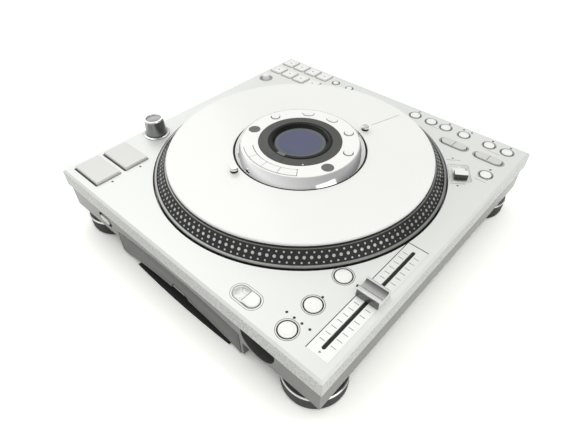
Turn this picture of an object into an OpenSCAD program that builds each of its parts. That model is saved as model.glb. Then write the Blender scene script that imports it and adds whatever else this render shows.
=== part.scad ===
// Tabletop disc player with a turning scratch platter, a fixed centre display,
// a front tray, a pitch fader and trigger pads.
// Millimetres, +Z up, +Y to the rear: the tray opens towards -Y.
// The origin is on the table, under the middle of the deck.

/* [Deck] */
// Gap from the deck's left edge to the platter
margin_left = 20; // [19:0.5:30]
// Gap from the deck's right edge to the platter
margin_right = 25; // [24:0.5:34]
// Gap from the deck's front edge to the platter
margin_front = 25.5; // [25:0.5:40]
// Gap from the deck's rear edge to the platter
margin_back = 22.5; // [22:0.5:34]
// Height of the metal deck slab's side
slab_h = 18; // [17:0.5:24]
// Thickness of the slab's top
deck_t = 2.5; // [2:0.1:3.2]
// Thickness of the slab's side walls
slab_wall = 3; // [2:0.1:4]
// Chamfer round the slab's top edge
edge_chamfer = 2; // [0.5:0.1:2.5]

/* [Case] */
// Height of the moulded case between the feet and the slab
case_h = 26; // [25:0.5:32]
// How far the case stands in from the slab's side
case_inset = 2; // [1:0.1:4]
// Wall and floor thickness of the case
case_wall = 3; // [2:0.1:4]
// Dark joint line between the case and the slab
parting_gap = 0.6; // [0.3:0.1:1]
// Room beside the disc tray for its frame and the cover's screws
belly_side = 19; // [18.5:0.5:22]
// Gap between the belly and the table
belly_clear = 3.5; // [2.5:0.1:5]
// How far the belly stops short of the case's rear
belly_short = 20; // [12:1:40]
// Thickness of the cover under the belly
cover_t = 2; // [1.5:0.1:2.6]

/* [Feet] */
// Diameter of a foot
foot_d = 55.6; // [40:0.2:58]
// Distance of a foot's centre from the deck's edges
foot_inset = 28; // [26:0.5:34]
// Height of the rubber
foot_h = 16; // [12:0.5:18]
// Height of the bright ring on the foot
ring_h = 2; // [1:0.1:3]
// How far the foot's neck stands in from its ring
neck_step = 2.8; // [1:0.1:5]
// Height of the dark gap between ring and case
neck_h = 5; // [3:0.5:8]

/* [Platter] */
// Radius of the turning platter
platter_r = 143.5; // [140:0.5:155]
// Height of the platter's top face over the deck
platter_rise = 11; // [9:0.5:13]
// Height of the platter's outer rim over the deck
rim_rise = 1.8; // [1:0.1:3]
// Width of the bright flat on the outer rim
rim_flat = 2; // [1:0.1:3]
// Width of the sloping strobe band, seen from above
strobe_w = 8.6; // [7.5:0.1:9.5]
// Thickness of the platter's top plate
platter_t = 3; // [2:0.1:4]
// Thickness of the platter's rim wall
rim_wall = 7; // [6:0.1:9]
// Depth of the well that the platter turns in
well_depth = 10; // [9:0.5:11]
// Running gap between the platter and its well
well_gap = 1.8; // [1:0.1:2.4]
// Radius of the fixed centre column
column_r = 18; // [15:0.5:20]
// Running clearance of the platter's bush on the column
bush_gap = 0.05; // [0.03:0.01:0.09]
// Radius of a large strobe dot
dot_big_r = 1.35; // [1:0.05:1.5]
// Radius of a small strobe dot
dot_small_r = 0.8; // [0.6:0.05:0.95]
// How far a strobe dot stands proud
dot_h = 0.3; // [0.2:0.05:0.5]
// Dots in the outer row
dots_outer = 150; // [120:1:160]
// Dots in the middle row
dots_middle = 145; // [120:1:150]
// Dots in the inner row
dots_inner = 140; // [120:1:160]
// Outer radius of the magnet ring
magnet_r = 52; // [51:0.5:60]

/* [Scratch disc] */
// Radius of the scratch disc
disc_r = 130.4; // [126:0.2:131]
// Radius of the hole in the scratch disc
disc_hole_r = 66; // [65.8:0.1:70]
// Thickness of the scratch disc
disc_t = 3; // [2:0.1:4]
// Thickness of the mat under the disc
mat_t = 1; // [0.6:0.1:1.6]
// Distance of the chrome posts from the centre
post_orbit = 73; // [72:0.5:100]
// Radius of a chrome post
post_r = 3.8; // [2.5:0.1:4.5]
// Height of a chrome post over the disc
post_h = 6; // [3:0.5:8]

/* [Centre hub] */
// Radius of the hub's chrome collar at its foot
collar_r = 65.2; // [64:0.1:65.4]
// Radius of the hub's flat top
hub_top_r = 57.4; // [57:0.1:59]
// Height of the hub's flat top over the deck
hub_rise = 23; // [22.5:0.5:26]
// Radius of the round display window
window_r = 41; // [36:0.5:42]
// Depth of the four bar keys towards the centre
key_depth = 8.4; // [6:0.1:9]
// Distance of the bar keys from the edge of the hub's flat top
key_margin = 2.2; // [1.6:0.1:2.8]
// Angle that one bar key spans, gap included
key_span = 18.8; // [16:0.2:20]
// Radius of the small round hub buttons
hub_button_r = 4.2; // [3:0.1:4.6]
// Distance of the small hub buttons from the centre
hub_button_orbit = 49.8; // [49:0.1:50.5]

/* [Tray] */
// How far the tray's front stops short of the belly's sides
door_side = 3.5; // [3:0.5:6]
// Height of the tray front's middle over the belly's underside
door_h = 34.7; // [34:0.1:38]
// How much lower the tray front's top is at its ends
door_arch = 6.7; // [2:0.1:9]
// Thickness of the tray's front
door_t = 3; // [2:0.1:4]
// Visible gap round the tray's front
door_gap = 0.8; // [0.5:0.1:1.2]
// Height of the finger arch under the tray's front
arch_h = 11; // [8:0.1:14]
// Depth of the finger recess behind the arch
arch_depth = 14; // [9:0.5:16]
// Width of the disc tray
tray_w = 136; // [134:1:142]
// Length of the disc tray
tray_len = 165; // [160:1:180]
// How far the tray travels
tray_travel = 150; // [120:1:155]
// Radius of the disc well in the tray
disc_well_r = 60.5; // [60.2:0.1:61.5]
// Depth of the disc well
disc_well_depth = 5; // [4.6:0.1:6]
// Thickness of the tray's floor
tray_floor = 3; // [2:0.1:4]
// Height of the tray's underside over the belly's underside
tray_lift = 19.5; // [19:0.1:21]
// Width of the slot that the spindle and laser use
tray_slot = 38; // [36:0.5:44]

/* [Controls] */
// Clearance round each button
button_gap = 0.3; // [0.2:0.05:0.6]
// Travel of a button
button_travel = 0.7; // [0.4:0.1:1.2]
// How far round buttons stand over the deck
button_rise = 1.2; // [0.5:0.1:3]
// Length of the cue and start keys
big_key_w = 40; // [32:0.5:42]
// Depth of the cue and start keys
big_key_d = 26; // [20:0.5:28]
// How far the cue and start keys stand over the deck
big_key_rise = 2.6; // [1:0.1:4]
// Side of a trigger pad
pad_size = 15.6; // [12:0.1:17]
// Spacing of the pads across the deck
pad_pitch_x = 19; // [18:0.1:20]
// Spacing of the two rows of pads
pad_pitch_y = 24; // [19:0.1:25]
// How far a pad stands over the deck
pad_rise = 1.6; // [0.5:0.1:3]
// Radius of the round buttons at the rear
rear_button_r = 5.4; // [4:0.1:6.5]
// Radius of the round buttons at the front
front_button_r = 6.8; // [5:0.1:7.5]
// Length of a rocker key
rocker_l = 27; // [22:0.5:30]
// Width of a rocker key
rocker_w = 10.4; // [8:0.1:12]
// Length of the pitch fader's slot
fader_slot = 116.8; // [110:0.2:120]
// Width of the pitch fader's slot
fader_slot_w = 2.3; // [2:0.1:3]
// Width of the fader's cap
fader_cap_w = 20; // [16:0.5:22]
// Length of the fader's cap along its travel
fader_cap_l = 16; // [12:0.5:18]
// Height of the fader's cap
fader_cap_h = 10; // [8:0.5:13]
// Radius of the tall rotary knob at its foot
tall_knob_r = 11; // [9:0.1:12]
// Height of the tall rotary knob
tall_knob_h = 18.7; // [14:0.1:24]
// Radius of the small level knob
level_knob_r = 4.2; // [3.5:0.1:5]

/* [Hidden] */
// Outer size of the deck and the platter's place on it
deck_w = 2 * platter_r + margin_left + margin_right;
deck_d = 2 * platter_r + margin_front + margin_back;
left = -deck_w / 2;
right = deck_w / 2;
front = -deck_d / 2;
back = deck_d / 2;
platter_x = left + margin_left + platter_r;
platter_y = front + margin_front + platter_r;

// Levels over the table
case_z0 = foot_h + ring_h + neck_h;
case_z1 = case_z0 + case_h;
deck_z = case_z1 + slab_h;
under_deck = deck_z - deck_t;
case_top = case_z1 - parting_gap;
well_z = deck_z - well_depth;
well_floor = 2.5;
belly_top = belly_clear + cover_t;
tray_z = belly_clear + tray_lift;
cut = 1;
fine = 96;
coarse = 32;

// Case outline
case_w = deck_w - 2 * case_inset;
case_d = deck_d - 2 * case_inset;
case_front = front + case_inset;
case_back = back - case_inset;
lip_t = 1.6;
lip_h = 4;
belly_w = tray_w + 2 * belly_side;
door_w = belly_w - 2 * door_side;
belly_back = case_back - belly_short;
belly_d = belly_back - case_front;

// Platter section
well_r = platter_r + well_gap;
well_wall = 2.5;
platter_z0 = well_z + 1.2;
platter_z1 = deck_z + platter_rise;
rim_z = deck_z + rim_rise;
rim_bevel = 0.6;
strobe_r1 = platter_r - rim_bevel - rim_flat;
strobe_r0 = strobe_r1 - strobe_w;
strobe_z0 = rim_z - 0.5;
strobe_z1 = platter_z1 - 0.4;
top_ring = 1.2;
boss_wall = 6;
magnet_wall = 5.5;
magnet_drop = 14;
coil_gap = 3;
coil_r = 3.4;

// Disc and mat levels
mat_z = platter_z1;
disc_z0 = mat_z + mat_t;
disc_z1 = disc_z0 + disc_t;
mat_edge = 0.5;
mat_r = disc_r + mat_edge;
post_angles = [-105, 65.5];

// Hub levels
hub_z0 = platter_z1 + 0.8;
hub_z1 = deck_z + hub_rise;
hub_cable_r = 12;
hub_floor = 2.2;
hub_plate = 4.5;
hub_wall = 2.2;
window_t = 3.2;
window_step = 1.2;
window_ring_r1 = 31.6;
window_ring_r0 = 27.6;
display_r = 25;
display_sink = 2.4;
hub_cavity_z0 = hub_z0 + hub_floor;
hub_cavity_z1 = hub_z1 - hub_plate;
hub_board_t = 1.6;
hub_key_rise = 0.4;
key_out_r = hub_top_r - key_margin;
key_in_r = key_out_r - key_depth;
key_angles = [-117.6, -98.8, -80, -61.2];
key_line = 0.5;
// Angle, and radial and tangential half sizes, of each small hub button
hub_buttons = [[162.5, 0, 0], [121.5, 1.6, 0], [90, 1.6, 0], [56, 0, 0], [17, 0, 0]];
hub_spots = [-161.5, -18.5];
hub_spot_r = 6;
hub_spot_depth = 0.6;

// Boards and switches under the deck
board_t = 1.6;
board_top = under_deck - 6.9;
stem_z = board_top + button_travel + 0.3;
flange_gap = 0.3;
flange_t = 1.5;
flange_out = 1.2;

// Control places, each measured from the deck edges that it keeps to
cue_at = [left + 28, front + 54.6];
start_at = [left + 28, front + 23.1];
tall_knob_at = [left + 16.2, front + 101.2];
level_knob_at = [left + 16, back - 65];
pad_from = [left + 13.5, back - 14];
store_at = [left + 91, back - 16];
bank_at = [left + 112, back - 16];
rear_button_x = [126.2, 105.8, 87.8, 66.2, 37.5, 18.2];
rear_button_y = back - 16;
power_at = [right - 18.2, back - 64.8];
rocker_y = back - 39;
rocker_left_at = [right - 65.8, rocker_y];
rocker_right_at = [right - 27.8, rocker_y];
reset_at = [right - 44, front + 79];
lock_at = [right - 44, front + 42.8];
range_at = [right - 44, front + 14.8];
mode_at = [right - 85.8, front + 15.3];
fader_at = [right - 16.2, front + 78.4];
fader_plate_w = 19.8;
fader_plate_l = fader_slot + 13.8;
fader_plate_depth = 0.4;
small_button_r = 3.6;
ring_step = 1.2;
ring_depth = 0.5;

// Search lever, in a pocket that keeps to the platter's edge
lever_angle = 33.8;
pocket_w = 20;
pocket_l = 26;
pocket_depth = 2.5;
pocket_wall = 2;
big_key_front = 0.9;
lever_orbit = well_r + 1 + pocket_w / 2;
lever_cap_w = 12.5;
lever_cap_l = 14;
lever_thumb_l = 7;
lever_reach = 10.5;
lever_rise = 6.2;
lever_neck = 5;
lever_tilt = 8;
trunnion_r = 1.6;
trunnion_gap = 0.06;
ear_t = 2;
ear_drop = 2.6;
lever_pivot_z = deck_z - 6.5;
rocker_pivot_z = under_deck - 2.2;
rocker_rise = 1.4;
rocker_gap = 1;
rocker_tilt = 3;

// Mode slider in its oval recess
mode_recess_l = 25;
mode_recess_w = 13;
mode_depth = 3.6;
mode_knob_gap = 0.5;
mode_knob_l = mode_recess_l / 2 - mode_knob_gap;
mode_rise = 1.4;
mode_stem = 3;
mode_stem_x = 5.5;

// Fader cap section and stem
fader_cap_gap = 0.6;
fader_blade_t = 1.3;
fader_blade_l = 8;
fader_travel = 100;
saddle_r = 6.4;
saddle_depth = 4;

// Tray front outline, in the plane of the case's front
door_z1 = belly_clear + door_h;
door_half = door_w / 2;
door_top_r = (door_half * door_half + door_arch * door_arch) / (2 * door_arch);
arch_side = 13.5;
arch_half = door_half - arch_side;
arch_drop = 7.8;
arch_r = (arch_half * arch_half + arch_drop * arch_drop) / (2 * arch_drop);
arch_z = belly_clear + arch_h;
notch_x = 5.5;
notch_half = 8;
notch_slope = 5;
notch_h = 7.5;
door_back = case_front + door_t;

// Disc drive
disc_x = platter_x;
tray_front = door_back;
tray_lip = 12;
disc_y = tray_front + tray_lip + disc_well_r;
tray_back = tray_front + tray_len;
tray_well_z = tray_z + tray_floor;
tray_top = tray_well_z + disc_well_depth;
small_well_r = 40.3;
small_well_depth = 1.2;
runner_gap = 0.3;
rail_t = 3;
frame_base_t = 2;
frame_z0 = belly_top + 0.5;
spindle_r = 1.5;
spindle_flange_r = 15;
spindle_cone_r = 7.3;
spindle_motor_r = 11;
spindle_top = tray_well_z + 2.4;
sled_w = 46;
sled_l = 22;
sled_h = 8;
sled_z0 = tray_z - 12;
sled_travel = 32;
sled_y = disc_y + spindle_flange_r + 6 + sled_l / 2;
rod_r = 1.5;
rod_gap = 0.05;
rod_half = 18;
lens_r = 4;

// Front and rear openings
eject_at = [left + 59, deck_z - 31.5];
eject_l = 15;
eject_w = 7.5;
eject_recess = 3;
eject_recess_depth = 2.5;
eject_boss = 8;
eject_travel = 1.5;
eject_proud = 0.8;
moon_r = 18;
moon_lip = 2.5;
moon_x = right - 63.5;
moon_z = case_z0 + moon_r;
moon_depth = 13.5;
card_slot_w = 25;
card_slot_h = 3.2;
card_slot_z = moon_z - 5;
socket_pocket_x = left + 121;
socket_pocket_w = 150;
socket_pocket_h = 17;
socket_pocket_z = case_z0 + case_wall + 1.5;
socket_pocket_depth = 12;
socket_plate_t = 2;
rca_r = 4.15;
rca_pin_r = 1.6;
rca_len = 9.5;
rca_from_left = [16, 34, 64];
jack_r = 3;
jack_bore_r = 1.8;
jack_from_left = [92, 112];
inlet_x = right - 56;
inlet_z = case_z0 + case_h / 2;
inlet_w = 17.5;
inlet_h = 8.6;
inlet_depth = 13;
inlet_wall = 3;
inlet_pin_r = 1.2;
inlet_pin_half = 4.3;

// Bottom screws
screw_r = 1.4;
screw_head_r = 2.9;
screw_head_h = 1.2;
screw_len = 7;
screw_inset = 5;
screw_y = [for (i = [0:3]) belly_back - screw_inset - i * (belly_d - arch_depth - 30) / 3];
screw_x = belly_w / 2 - screw_inset;

// ---------------------------------------------------------------- outlines

// Rectangle with rounded corners, centred
module rounded(w, d, r) {
    square([w - 2 * r, d], center = true);
    square([w, d - 2 * r], center = true);
    for (sx = [-1, 1], sy = [-1, 1])
        translate([sx * (w / 2 - r), sy * (d / 2 - r)])
            circle(r = r, $fn = coarse);
}

// Slot with round ends, along X, centred; a circle when it is as long as wide
module slot(l, w) {
    if (l > w + 0.01)
        square([l - w, w], center = true);
    for (s = [-1, 1])
        translate([s * (l - w) / 2, 0])
            circle(r = w / 2, $fn = coarse);
}

// Upright prism of an outline between two heights
module rise(z0, z1) {
    translate([0, 0, z0])
        linear_extrude(z1 - z0)
            children();
}

// Prism of an outline drawn in X and Z, from y0 back to y1
module deep(y0, y1) {
    translate([0, y1, 0])
        rotate([90, 0, 0])
            linear_extrude(y1 - y0)
                children();
}

// Moves children to a place on the deck
module at(p) {
    translate([p[0], p[1], 0])
        children();
}

// Moves children to a polar place round the platter's axis
module round_platter(angle, orbit) {
    translate([platter_x, platter_y, 0])
        rotate([0, 0, angle])
            translate([orbit, 0, 0])
                children();
}

// Block whose top edges are chamfered, as the crossing of two prisms
module chamfered_block(w, d, z0, z1, c) {
    intersection() {
        deep(-d / 2, d / 2)
            polygon([[-w / 2, z0], [w / 2, z0], [w / 2, z1 - c], [w / 2 - c, z1],
                     [-w / 2 + c, z1], [-w / 2, z1 - c]]);
        rotate([0, 0, 90])
            deep(-w / 2, w / 2)
                polygon([[-d / 2, z0], [d / 2, z0], [d / 2, z1 - c], [d / 2 - c, z1],
                         [-d / 2 + c, z1], [-d / 2, z1 - c]]);
    }
}

// ---------------------------------------------------------------- buttons

// Round push button: crowned cap, flange that reaches out under the deck, stem
module round_button(p, r, up = button_rise, out = flange_out) {
    top = deck_z + up;
    crown = 0.4;
    at(p)
        rotate_extrude($fn = fine)
            polygon([[0, stem_z], [2, stem_z], [2, under_deck - flange_gap - flange_t],
                     [r + out, under_deck - flange_gap - flange_t],
                     [r + out, under_deck - flange_gap],
                     [r, under_deck - flange_gap - 0.01], [r, top - 2 * crown],
                     [r - crown, top - crown], [r - 1.4, top - crown],
                     [r - 2, top - 0.1], [0, top]]);
}

// Rectangular key with four retaining tabs and a stem
module block_key(p, w, d, up, r) {
    top = deck_z + up;
    bevel = 0.6;
    corner = r + 1;
    at(p) {
        rise(under_deck - flange_gap, top - bevel)
            rounded(w, d, r);
        rise(top - bevel - 0.01, top)
            rounded(w - 2 * bevel, d - 2 * bevel, r);
        rise(under_deck - flange_gap - flange_t, under_deck - flange_gap) {
            square([w + 2 * flange_out, d - 2 * corner], center = true);
            square([w - 2 * corner, d + 2 * flange_out], center = true);
        }
        rise(stem_z, under_deck - flange_gap - flange_t)
            rounded(5, 5, 1);
    }
}

// Through hole for a round button, with the shallow ring round it
module round_hole(p, r, down = cut) {
    at(p) {
        rise(under_deck - down, deck_z + cut)
            circle(r = r + button_gap, $fn = fine);
        rise(deck_z - ring_depth, deck_z + cut)
            circle(r = r + ring_step, $fn = fine);
    }
}

// Through hole for a rectangular key
module key_hole(p, w, d, r) {
    at(p)
        rise(under_deck - cut, deck_z + cut)
            rounded(w + 2 * button_gap, d + 2 * button_gap, r);
}

// Centre of pad i, counted from 0 along the rear row and then the front row
function pad_at(i) = [
    pad_from[0] + (i % 4) * pad_pitch_x,
    pad_from[1] - floor(i / 4) * pad_pitch_y];

// Trigger pad with a raised rim round its soft face
module pad(i) {
    color("whitesmoke")
        difference() {
            block_key(pad_at(i), pad_size, pad_size, pad_rise, 2);
            at(pad_at(i))
                rise(deck_z + pad_rise - 0.3, deck_z + pad_rise + cut)
                    rounded(pad_size - 4, pad_size - 4, 1.4);
        }
}

// Round button i of the row along the rear edge
function rear_at(i) = [right - rear_button_x[i], rear_button_y];

module rear_button(i) {
    color("whitesmoke")
        round_button(rear_at(i), rear_button_r);
}

// ---------------------------------------------------------------- deck slab

// Shell of the slab: chamfered top, four walls, open underneath
module slab_shell() {
    difference() {
        chamfered_block(deck_w, deck_d, case_z1, deck_z, edge_chamfer);
        rise(case_z1 - cut, under_deck)
            square([deck_w - 2 * slab_wall, deck_d - 2 * slab_wall], center = true);
    }
}

// Posts under the deck that carry the control boards
module board_posts() {
    for (p = board_post_places())
        at(p)
            rise(board_top, under_deck + 0.01)
                circle(r = 2.5, $fn = coarse);
}

function board_post_places() = [
    [left + 56, front + 39], [left + 54, front + 10], [left + 9, front + 83],
    [right - 60, front + 32], [right - 30, front + 96], [right - 34, front + 28],
    [right - 52, back - 17], [right - 8, back - 48], [right - 96, back - 9],
    [left + 23, back - 50], [left + 101, back - 9], [left + 23, back - 26]];

// Two ears under the deck with the bores that a trunnion turns in
module ears(half_gap, bore_z, span) {
    difference() {
        for (s = [-1, 1])
            translate([0, s * (half_gap + ear_t / 2), 0])
                rise(bore_z - ear_drop, under_deck + 0.01)
                    square([span, ear_t], center = true);
        translate([0, 0, bore_z])
            rotate([90, 0, 0])
                cylinder(r = trunnion_r + trunnion_gap, h = 2 * (half_gap + ear_t + cut),
                         center = true, $fn = coarse);
    }
}

// Rocker ears stand clear of the rocker's sides
rocker_ear_half = rocker_w / 2 + 0.5;
lever_ear_half = lever_neck / 2 + 0.5;

// Adds what hangs under the deck: pockets, well, ears and posts
module deck_bosses() {
    translate([platter_x, platter_y, 0])
        rise(well_z - well_floor, deck_z - 0.01)
            circle(r = well_r + well_wall, $fn = fine);
    round_platter(lever_angle, lever_orbit)
        rise(deck_z - pocket_depth - pocket_wall, deck_z - 0.01)
            rounded(pocket_w + 2 * pocket_wall, pocket_l + 2 * pocket_wall, 3);
    at(mode_at)
        rise(deck_z - mode_depth - pocket_wall, deck_z - 0.01)
            slot(mode_recess_l + 2 * pocket_wall, mode_recess_w + 2 * pocket_wall);
    at(level_knob_at)
        rise(deck_z - pocket_depth - pocket_wall, deck_z - 0.01)
            circle(r = level_knob_r + 5.4, $fn = fine);
    for (p = [rocker_left_at, rocker_right_at])
        at(p)
            ears(rocker_ear_half, rocker_pivot_z, 7);
    round_platter(lever_angle, lever_orbit)
        rotate([0, 0, 90])
            lever_ears();
    board_posts();
}

// Ears of the search lever hang from the pocket's floor
module lever_ears() {
    z1 = deck_z - pocket_depth - pocket_wall + 0.01;
    difference() {
        for (s = [-1, 1])
            translate([0, s * (lever_ear_half + ear_t / 2), 0])
                rise(lever_pivot_z - ear_drop, z1)
                    square([7, ear_t], center = true);
        translate([0, 0, lever_pivot_z])
            rotate([90, 0, 0])
                cylinder(r = trunnion_r + trunnion_gap,
                         h = 2 * (lever_ear_half + ear_t + cut), center = true,
                         $fn = coarse);
    }
}

// Every opening in the deck
module deck_cuts() {
    translate([platter_x, platter_y, 0]) {
        rise(well_z, deck_z + cut)
            circle(r = well_r, $fn = fine);
        rise(well_z - well_floor - cut, well_z + cut)
            circle(r = hub_cable_r, $fn = fine);
    }
    for (p = [cue_at, start_at]) {
        key_hole(p, big_key_w, big_key_d, 1);
        key_hole([p[0], p[1] - big_key_front], big_key_w, big_key_d, 1);
    }
    for (i = [0:7])
        key_hole(pad_at(i), pad_size, pad_size, 2);
    for (i = [0:5])
        round_hole(rear_at(i), rear_button_r);
    round_hole(power_at, rear_button_r);
    round_hole(store_at, small_button_r);
    round_hole(bank_at, small_button_r);
    for (p = [lock_at, range_at])
        round_hole(p, front_button_r);
    round_hole(reset_at, front_button_r, well_depth);
    for (p = [rocker_left_at, rocker_right_at])
        at(p)
            rise(under_deck - cut, deck_z + cut)
                slot(rocker_l + 2 * rocker_gap, rocker_w + 2 * rocker_gap);
    at(tall_knob_at) {
        rise(under_deck - cut, deck_z + cut)
            circle(r = 3 + button_gap, $fn = coarse);
        rise(deck_z - ring_depth, deck_z + cut)
            circle(r = tall_knob_r + 3.2, $fn = fine);
    }
    at(level_knob_at) {
        rise(deck_z - pocket_depth, deck_z + cut)
            circle(r = level_knob_r + 3.4, $fn = fine);
        rise(stem_z - cut, deck_z)
            circle(r = 2 + button_gap, $fn = coarse);
    }
    at(mode_at) {
        rise(deck_z - mode_depth, deck_z + cut)
            slot(mode_recess_l, mode_recess_w);
        rise(board_top, deck_z)
            square([2 * mode_stem_x + mode_stem + 1, mode_stem + 0.8], center = true);
    }
    round_platter(lever_angle, lever_orbit) {
        rise(deck_z - pocket_depth, deck_z + cut)
            rounded(pocket_w, pocket_l, 2);
        rise(lever_pivot_z + 0.5, deck_z)
            square([lever_neck + 1, lever_neck + 5], center = true);
    }
    at(fader_at) {
        rise(deck_z - fader_plate_depth, deck_z + cut)
            square([fader_plate_w, fader_plate_l], center = true);
        rise(under_deck - cut, deck_z + cut)
            rotate([0, 0, 90])
                slot(fader_slot, fader_slot_w);
    }
}

module top_panel() {
    color("gainsboro")
        difference() {
            union() {
                slab_shell();
                deck_bosses();
            }
            deck_cuts();
        }
}

// ---------------------------------------------------------------- lower case

// Outline of the tray front, grown by g on every side
module door_outline(g) {
    difference() {
        intersection() {
            translate([disc_x - door_half - g, belly_clear - g])
                square([door_w + 2 * g, door_h + 2 * g]);
            translate([disc_x, door_z1 - door_top_r])
                circle(r = door_top_r + g, $fn = 360);
        }
        arch_outline(-g);
    }
}

// Finger arch under the tray front, with the notch in its middle
module arch_outline(g) {
    translate([disc_x, arch_z - arch_r])
        circle(r = arch_r + g, $fn = 360);
    translate([disc_x + notch_x, arch_z])
        polygon([[-notch_half - notch_slope - g, -3], [-notch_half - g, notch_h + g],
                 [notch_half + g, notch_h + g], [notch_half + notch_slope + g, -3]]);
}

// Outside of the case: corners on the feet, belly, chin and locating lip
module case_outside() {
    rise(case_z0, case_top)
        square([case_w, case_d], center = true);
    translate([disc_x - belly_w / 2, case_front, belly_top])
        cube([belly_w, belly_d, case_top - belly_top]);
    card_boss();
    rise(case_top - cut, case_z1 + lip_h)
        square([deck_w - 2 * slab_wall - 2 * lip_gap(), deck_d - 2 * slab_wall - 2 * lip_gap()],
               center = true);
}

function lip_gap() = 0.2;

// Round boss behind the card slot's half-moon; its lip dips below the case
module card_boss() {
    intersection() {
        translate([moon_x, 0, moon_z])
            deep(case_front, case_front + moon_depth + case_wall)
                circle(r = moon_r + moon_lip, $fn = fine);
        rise(belly_clear, case_top)
            square([2 * deck_w, 2 * deck_d], center = true);
    }
}

// Hollow inside of the case
module case_inside() {
    inner_w = deck_w - 2 * (slab_wall + lip_gap() + lip_t);
    inner_d = deck_d - 2 * (slab_wall + lip_gap() + lip_t);
    rise(case_z0 + case_wall, case_z1 + lip_h + cut)
        square([inner_w, inner_d], center = true);
    translate([disc_x - belly_w / 2 + case_wall, case_front + door_block_d(),
               belly_top - cut])
        cube([belly_w - 2 * case_wall, belly_d - case_wall - door_block_d(),
              case_z1 - belly_top]);
}

// Depth of the solid block behind the tray front that holds the finger recess
function door_block_d() = arch_depth + case_wall;

// Blocks inside the walls that carry the front and rear recesses
module case_blocks() {
    translate([disc_x - belly_w / 2, case_front, belly_top])
        cube([belly_w, door_block_d(), tray_z - 1 - belly_top]);
    translate([disc_x - belly_w / 2, case_front, belly_top])
        cube([belly_w, door_t + case_wall, door_z1 + 3 - belly_top]);
    card_boss();
    translate([eject_at[0], 0, eject_at[1]])
        deep(case_front, case_front + eject_boss)
            slot(eject_l + 2 * eject_recess + 4, eject_w + 2 * eject_recess + 4);
    translate([socket_pocket_x, 0, socket_pocket_z])
        deep(case_back - socket_pocket_depth - socket_plate_t - 2, case_back)
            translate([-socket_pocket_w / 2 - 2, -2])
                square([socket_pocket_w + 4, socket_pocket_h + 4]);
    for (p = case_post_places())
        at(p)
            rise(case_z0 + 1, case_z0 + case_wall + 4)
                circle(r = 3.5, $fn = coarse);
    for (y = screw_y, s = [-1, 1])
        translate([disc_x + s * screw_x, y, 0])
            rise(belly_top, belly_top + screw_len + 3)
                circle(r = 4, $fn = coarse);
}

// Standoffs for the main board on the left and the supply board on the right
function case_post_places() = [
    for (sx = [-1, 1], y = [-95, 0, 110])
        [sx < 0 ? left + 14 : right - 14, y],
    for (sx = [-1, 1], y = [-95, 0, 110])
        [sx < 0 ? left + 66 : right - 64, y]];

// Every opening in the case
module case_cuts() {
    deep(case_front - cut, door_back + 0.4)
        door_outline(door_gap);
    deep(case_front - cut, case_front + arch_depth)
        intersection() {
            arch_outline(0);
            translate([disc_x - door_half + 4, -cut])
                square([door_w - 8, tray_z - 4]);
        }
    translate([disc_x - tray_w / 2 - 1, case_front - cut, tray_z - 1])
        cube([tray_w + 2, door_block_d() + 2 * cut, tray_top - tray_z + 3]);
    translate([eject_at[0], 0, eject_at[1]]) {
        deep(case_front - cut, case_front + eject_recess_depth)
            slot(eject_l + 2 * eject_recess, eject_w + 2 * eject_recess);
        deep(case_front, case_front + eject_boss + cut)
            slot(eject_l + 2 * button_gap, eject_w + 2 * button_gap);
    }
    translate([moon_x, 0, moon_z])
        deep(case_front - cut, case_front + moon_depth)
            circle(r = moon_r, $fn = fine);
    translate([moon_x - card_slot_w / 2, case_front, card_slot_z])
        cube([card_slot_w, moon_depth + case_wall + cut, card_slot_h]);
    translate([socket_pocket_x - socket_pocket_w / 2,
               case_back - socket_pocket_depth - socket_plate_t, socket_pocket_z])
        cube([socket_pocket_w, socket_pocket_depth + socket_plate_t + cut,
              socket_pocket_h]);
    translate([inlet_x, 0, inlet_z])
        deep(case_back - case_wall - 4, case_back + cut)
            rounded(inlet_w + 2 * inlet_wall, inlet_h + 2 * inlet_wall, 4);
    for (y = screw_y, s = [-1, 1])
        translate([disc_x + s * screw_x, y, 0])
            rise(belly_top - cut, belly_top + screw_len)
                circle(r = screw_r + 0.05, $fn = coarse);
}

module lower_case() {
    color("darkgray")
        difference() {
            union() {
                difference() {
                    case_outside();
                    case_inside();
                }
                case_blocks();
            }
            case_cuts();
        }
}

module bottom_cover() {
    y0 = case_front + arch_depth;
    color("dimgray")
        difference() {
            translate([disc_x - belly_w / 2, y0, belly_clear])
                cube([belly_w, belly_back - y0, cover_t]);
            for (y = screw_y, s = [-1, 1])
                translate([disc_x + s * screw_x, y, 0]) {
                    rise(belly_clear - cut, belly_top + cut)
                        circle(r = screw_r + 0.2, $fn = coarse);
                    rise(belly_clear - cut, belly_clear + screw_head_h)
                        circle(r = screw_head_r + 0.2, $fn = coarse);
                }
            for (i = [-6:6])
                translate([disc_x + i * 9, belly_back - 60, 0])
                    rise(belly_clear - cut, belly_top + cut)
                        rotate([0, 0, 90])
                            slot(40, 3);
        }
}

module screws() {
    color("silver")
        for (y = screw_y, s = [-1, 1])
            translate([disc_x + s * screw_x, y, belly_clear])
                rotate_extrude($fn = coarse)
                    polygon([[0, 0.3], [screw_head_r, 0.3], [screw_head_r, screw_head_h],
                             [screw_r, screw_head_h], [screw_r, cover_t + screw_len - 0.5],
                             [0, cover_t + screw_len]]);
}

// ---------------------------------------------------------------- feet

// Places children at the four feet
module each_foot() {
    for (sx = [-1, 1], sy = [-1, 1])
        translate([sx * (deck_w / 2 - foot_inset), sy * (deck_d / 2 - foot_inset), 0])
            children();
}

foot_r = foot_d / 2;
neck_r = foot_r - neck_step;

module feet() {
    color([0.12, 0.12, 0.12])
        each_foot()
            rotate_extrude($fn = fine)
                polygon([[0, 0], [foot_r - 3, 0], [foot_r - 1, 1.2], [foot_r - 0.2, 4],
                         [foot_r - 0.2, foot_h], [neck_r, foot_h], [neck_r, case_z0],
                         [0, case_z0]]);
}

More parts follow.
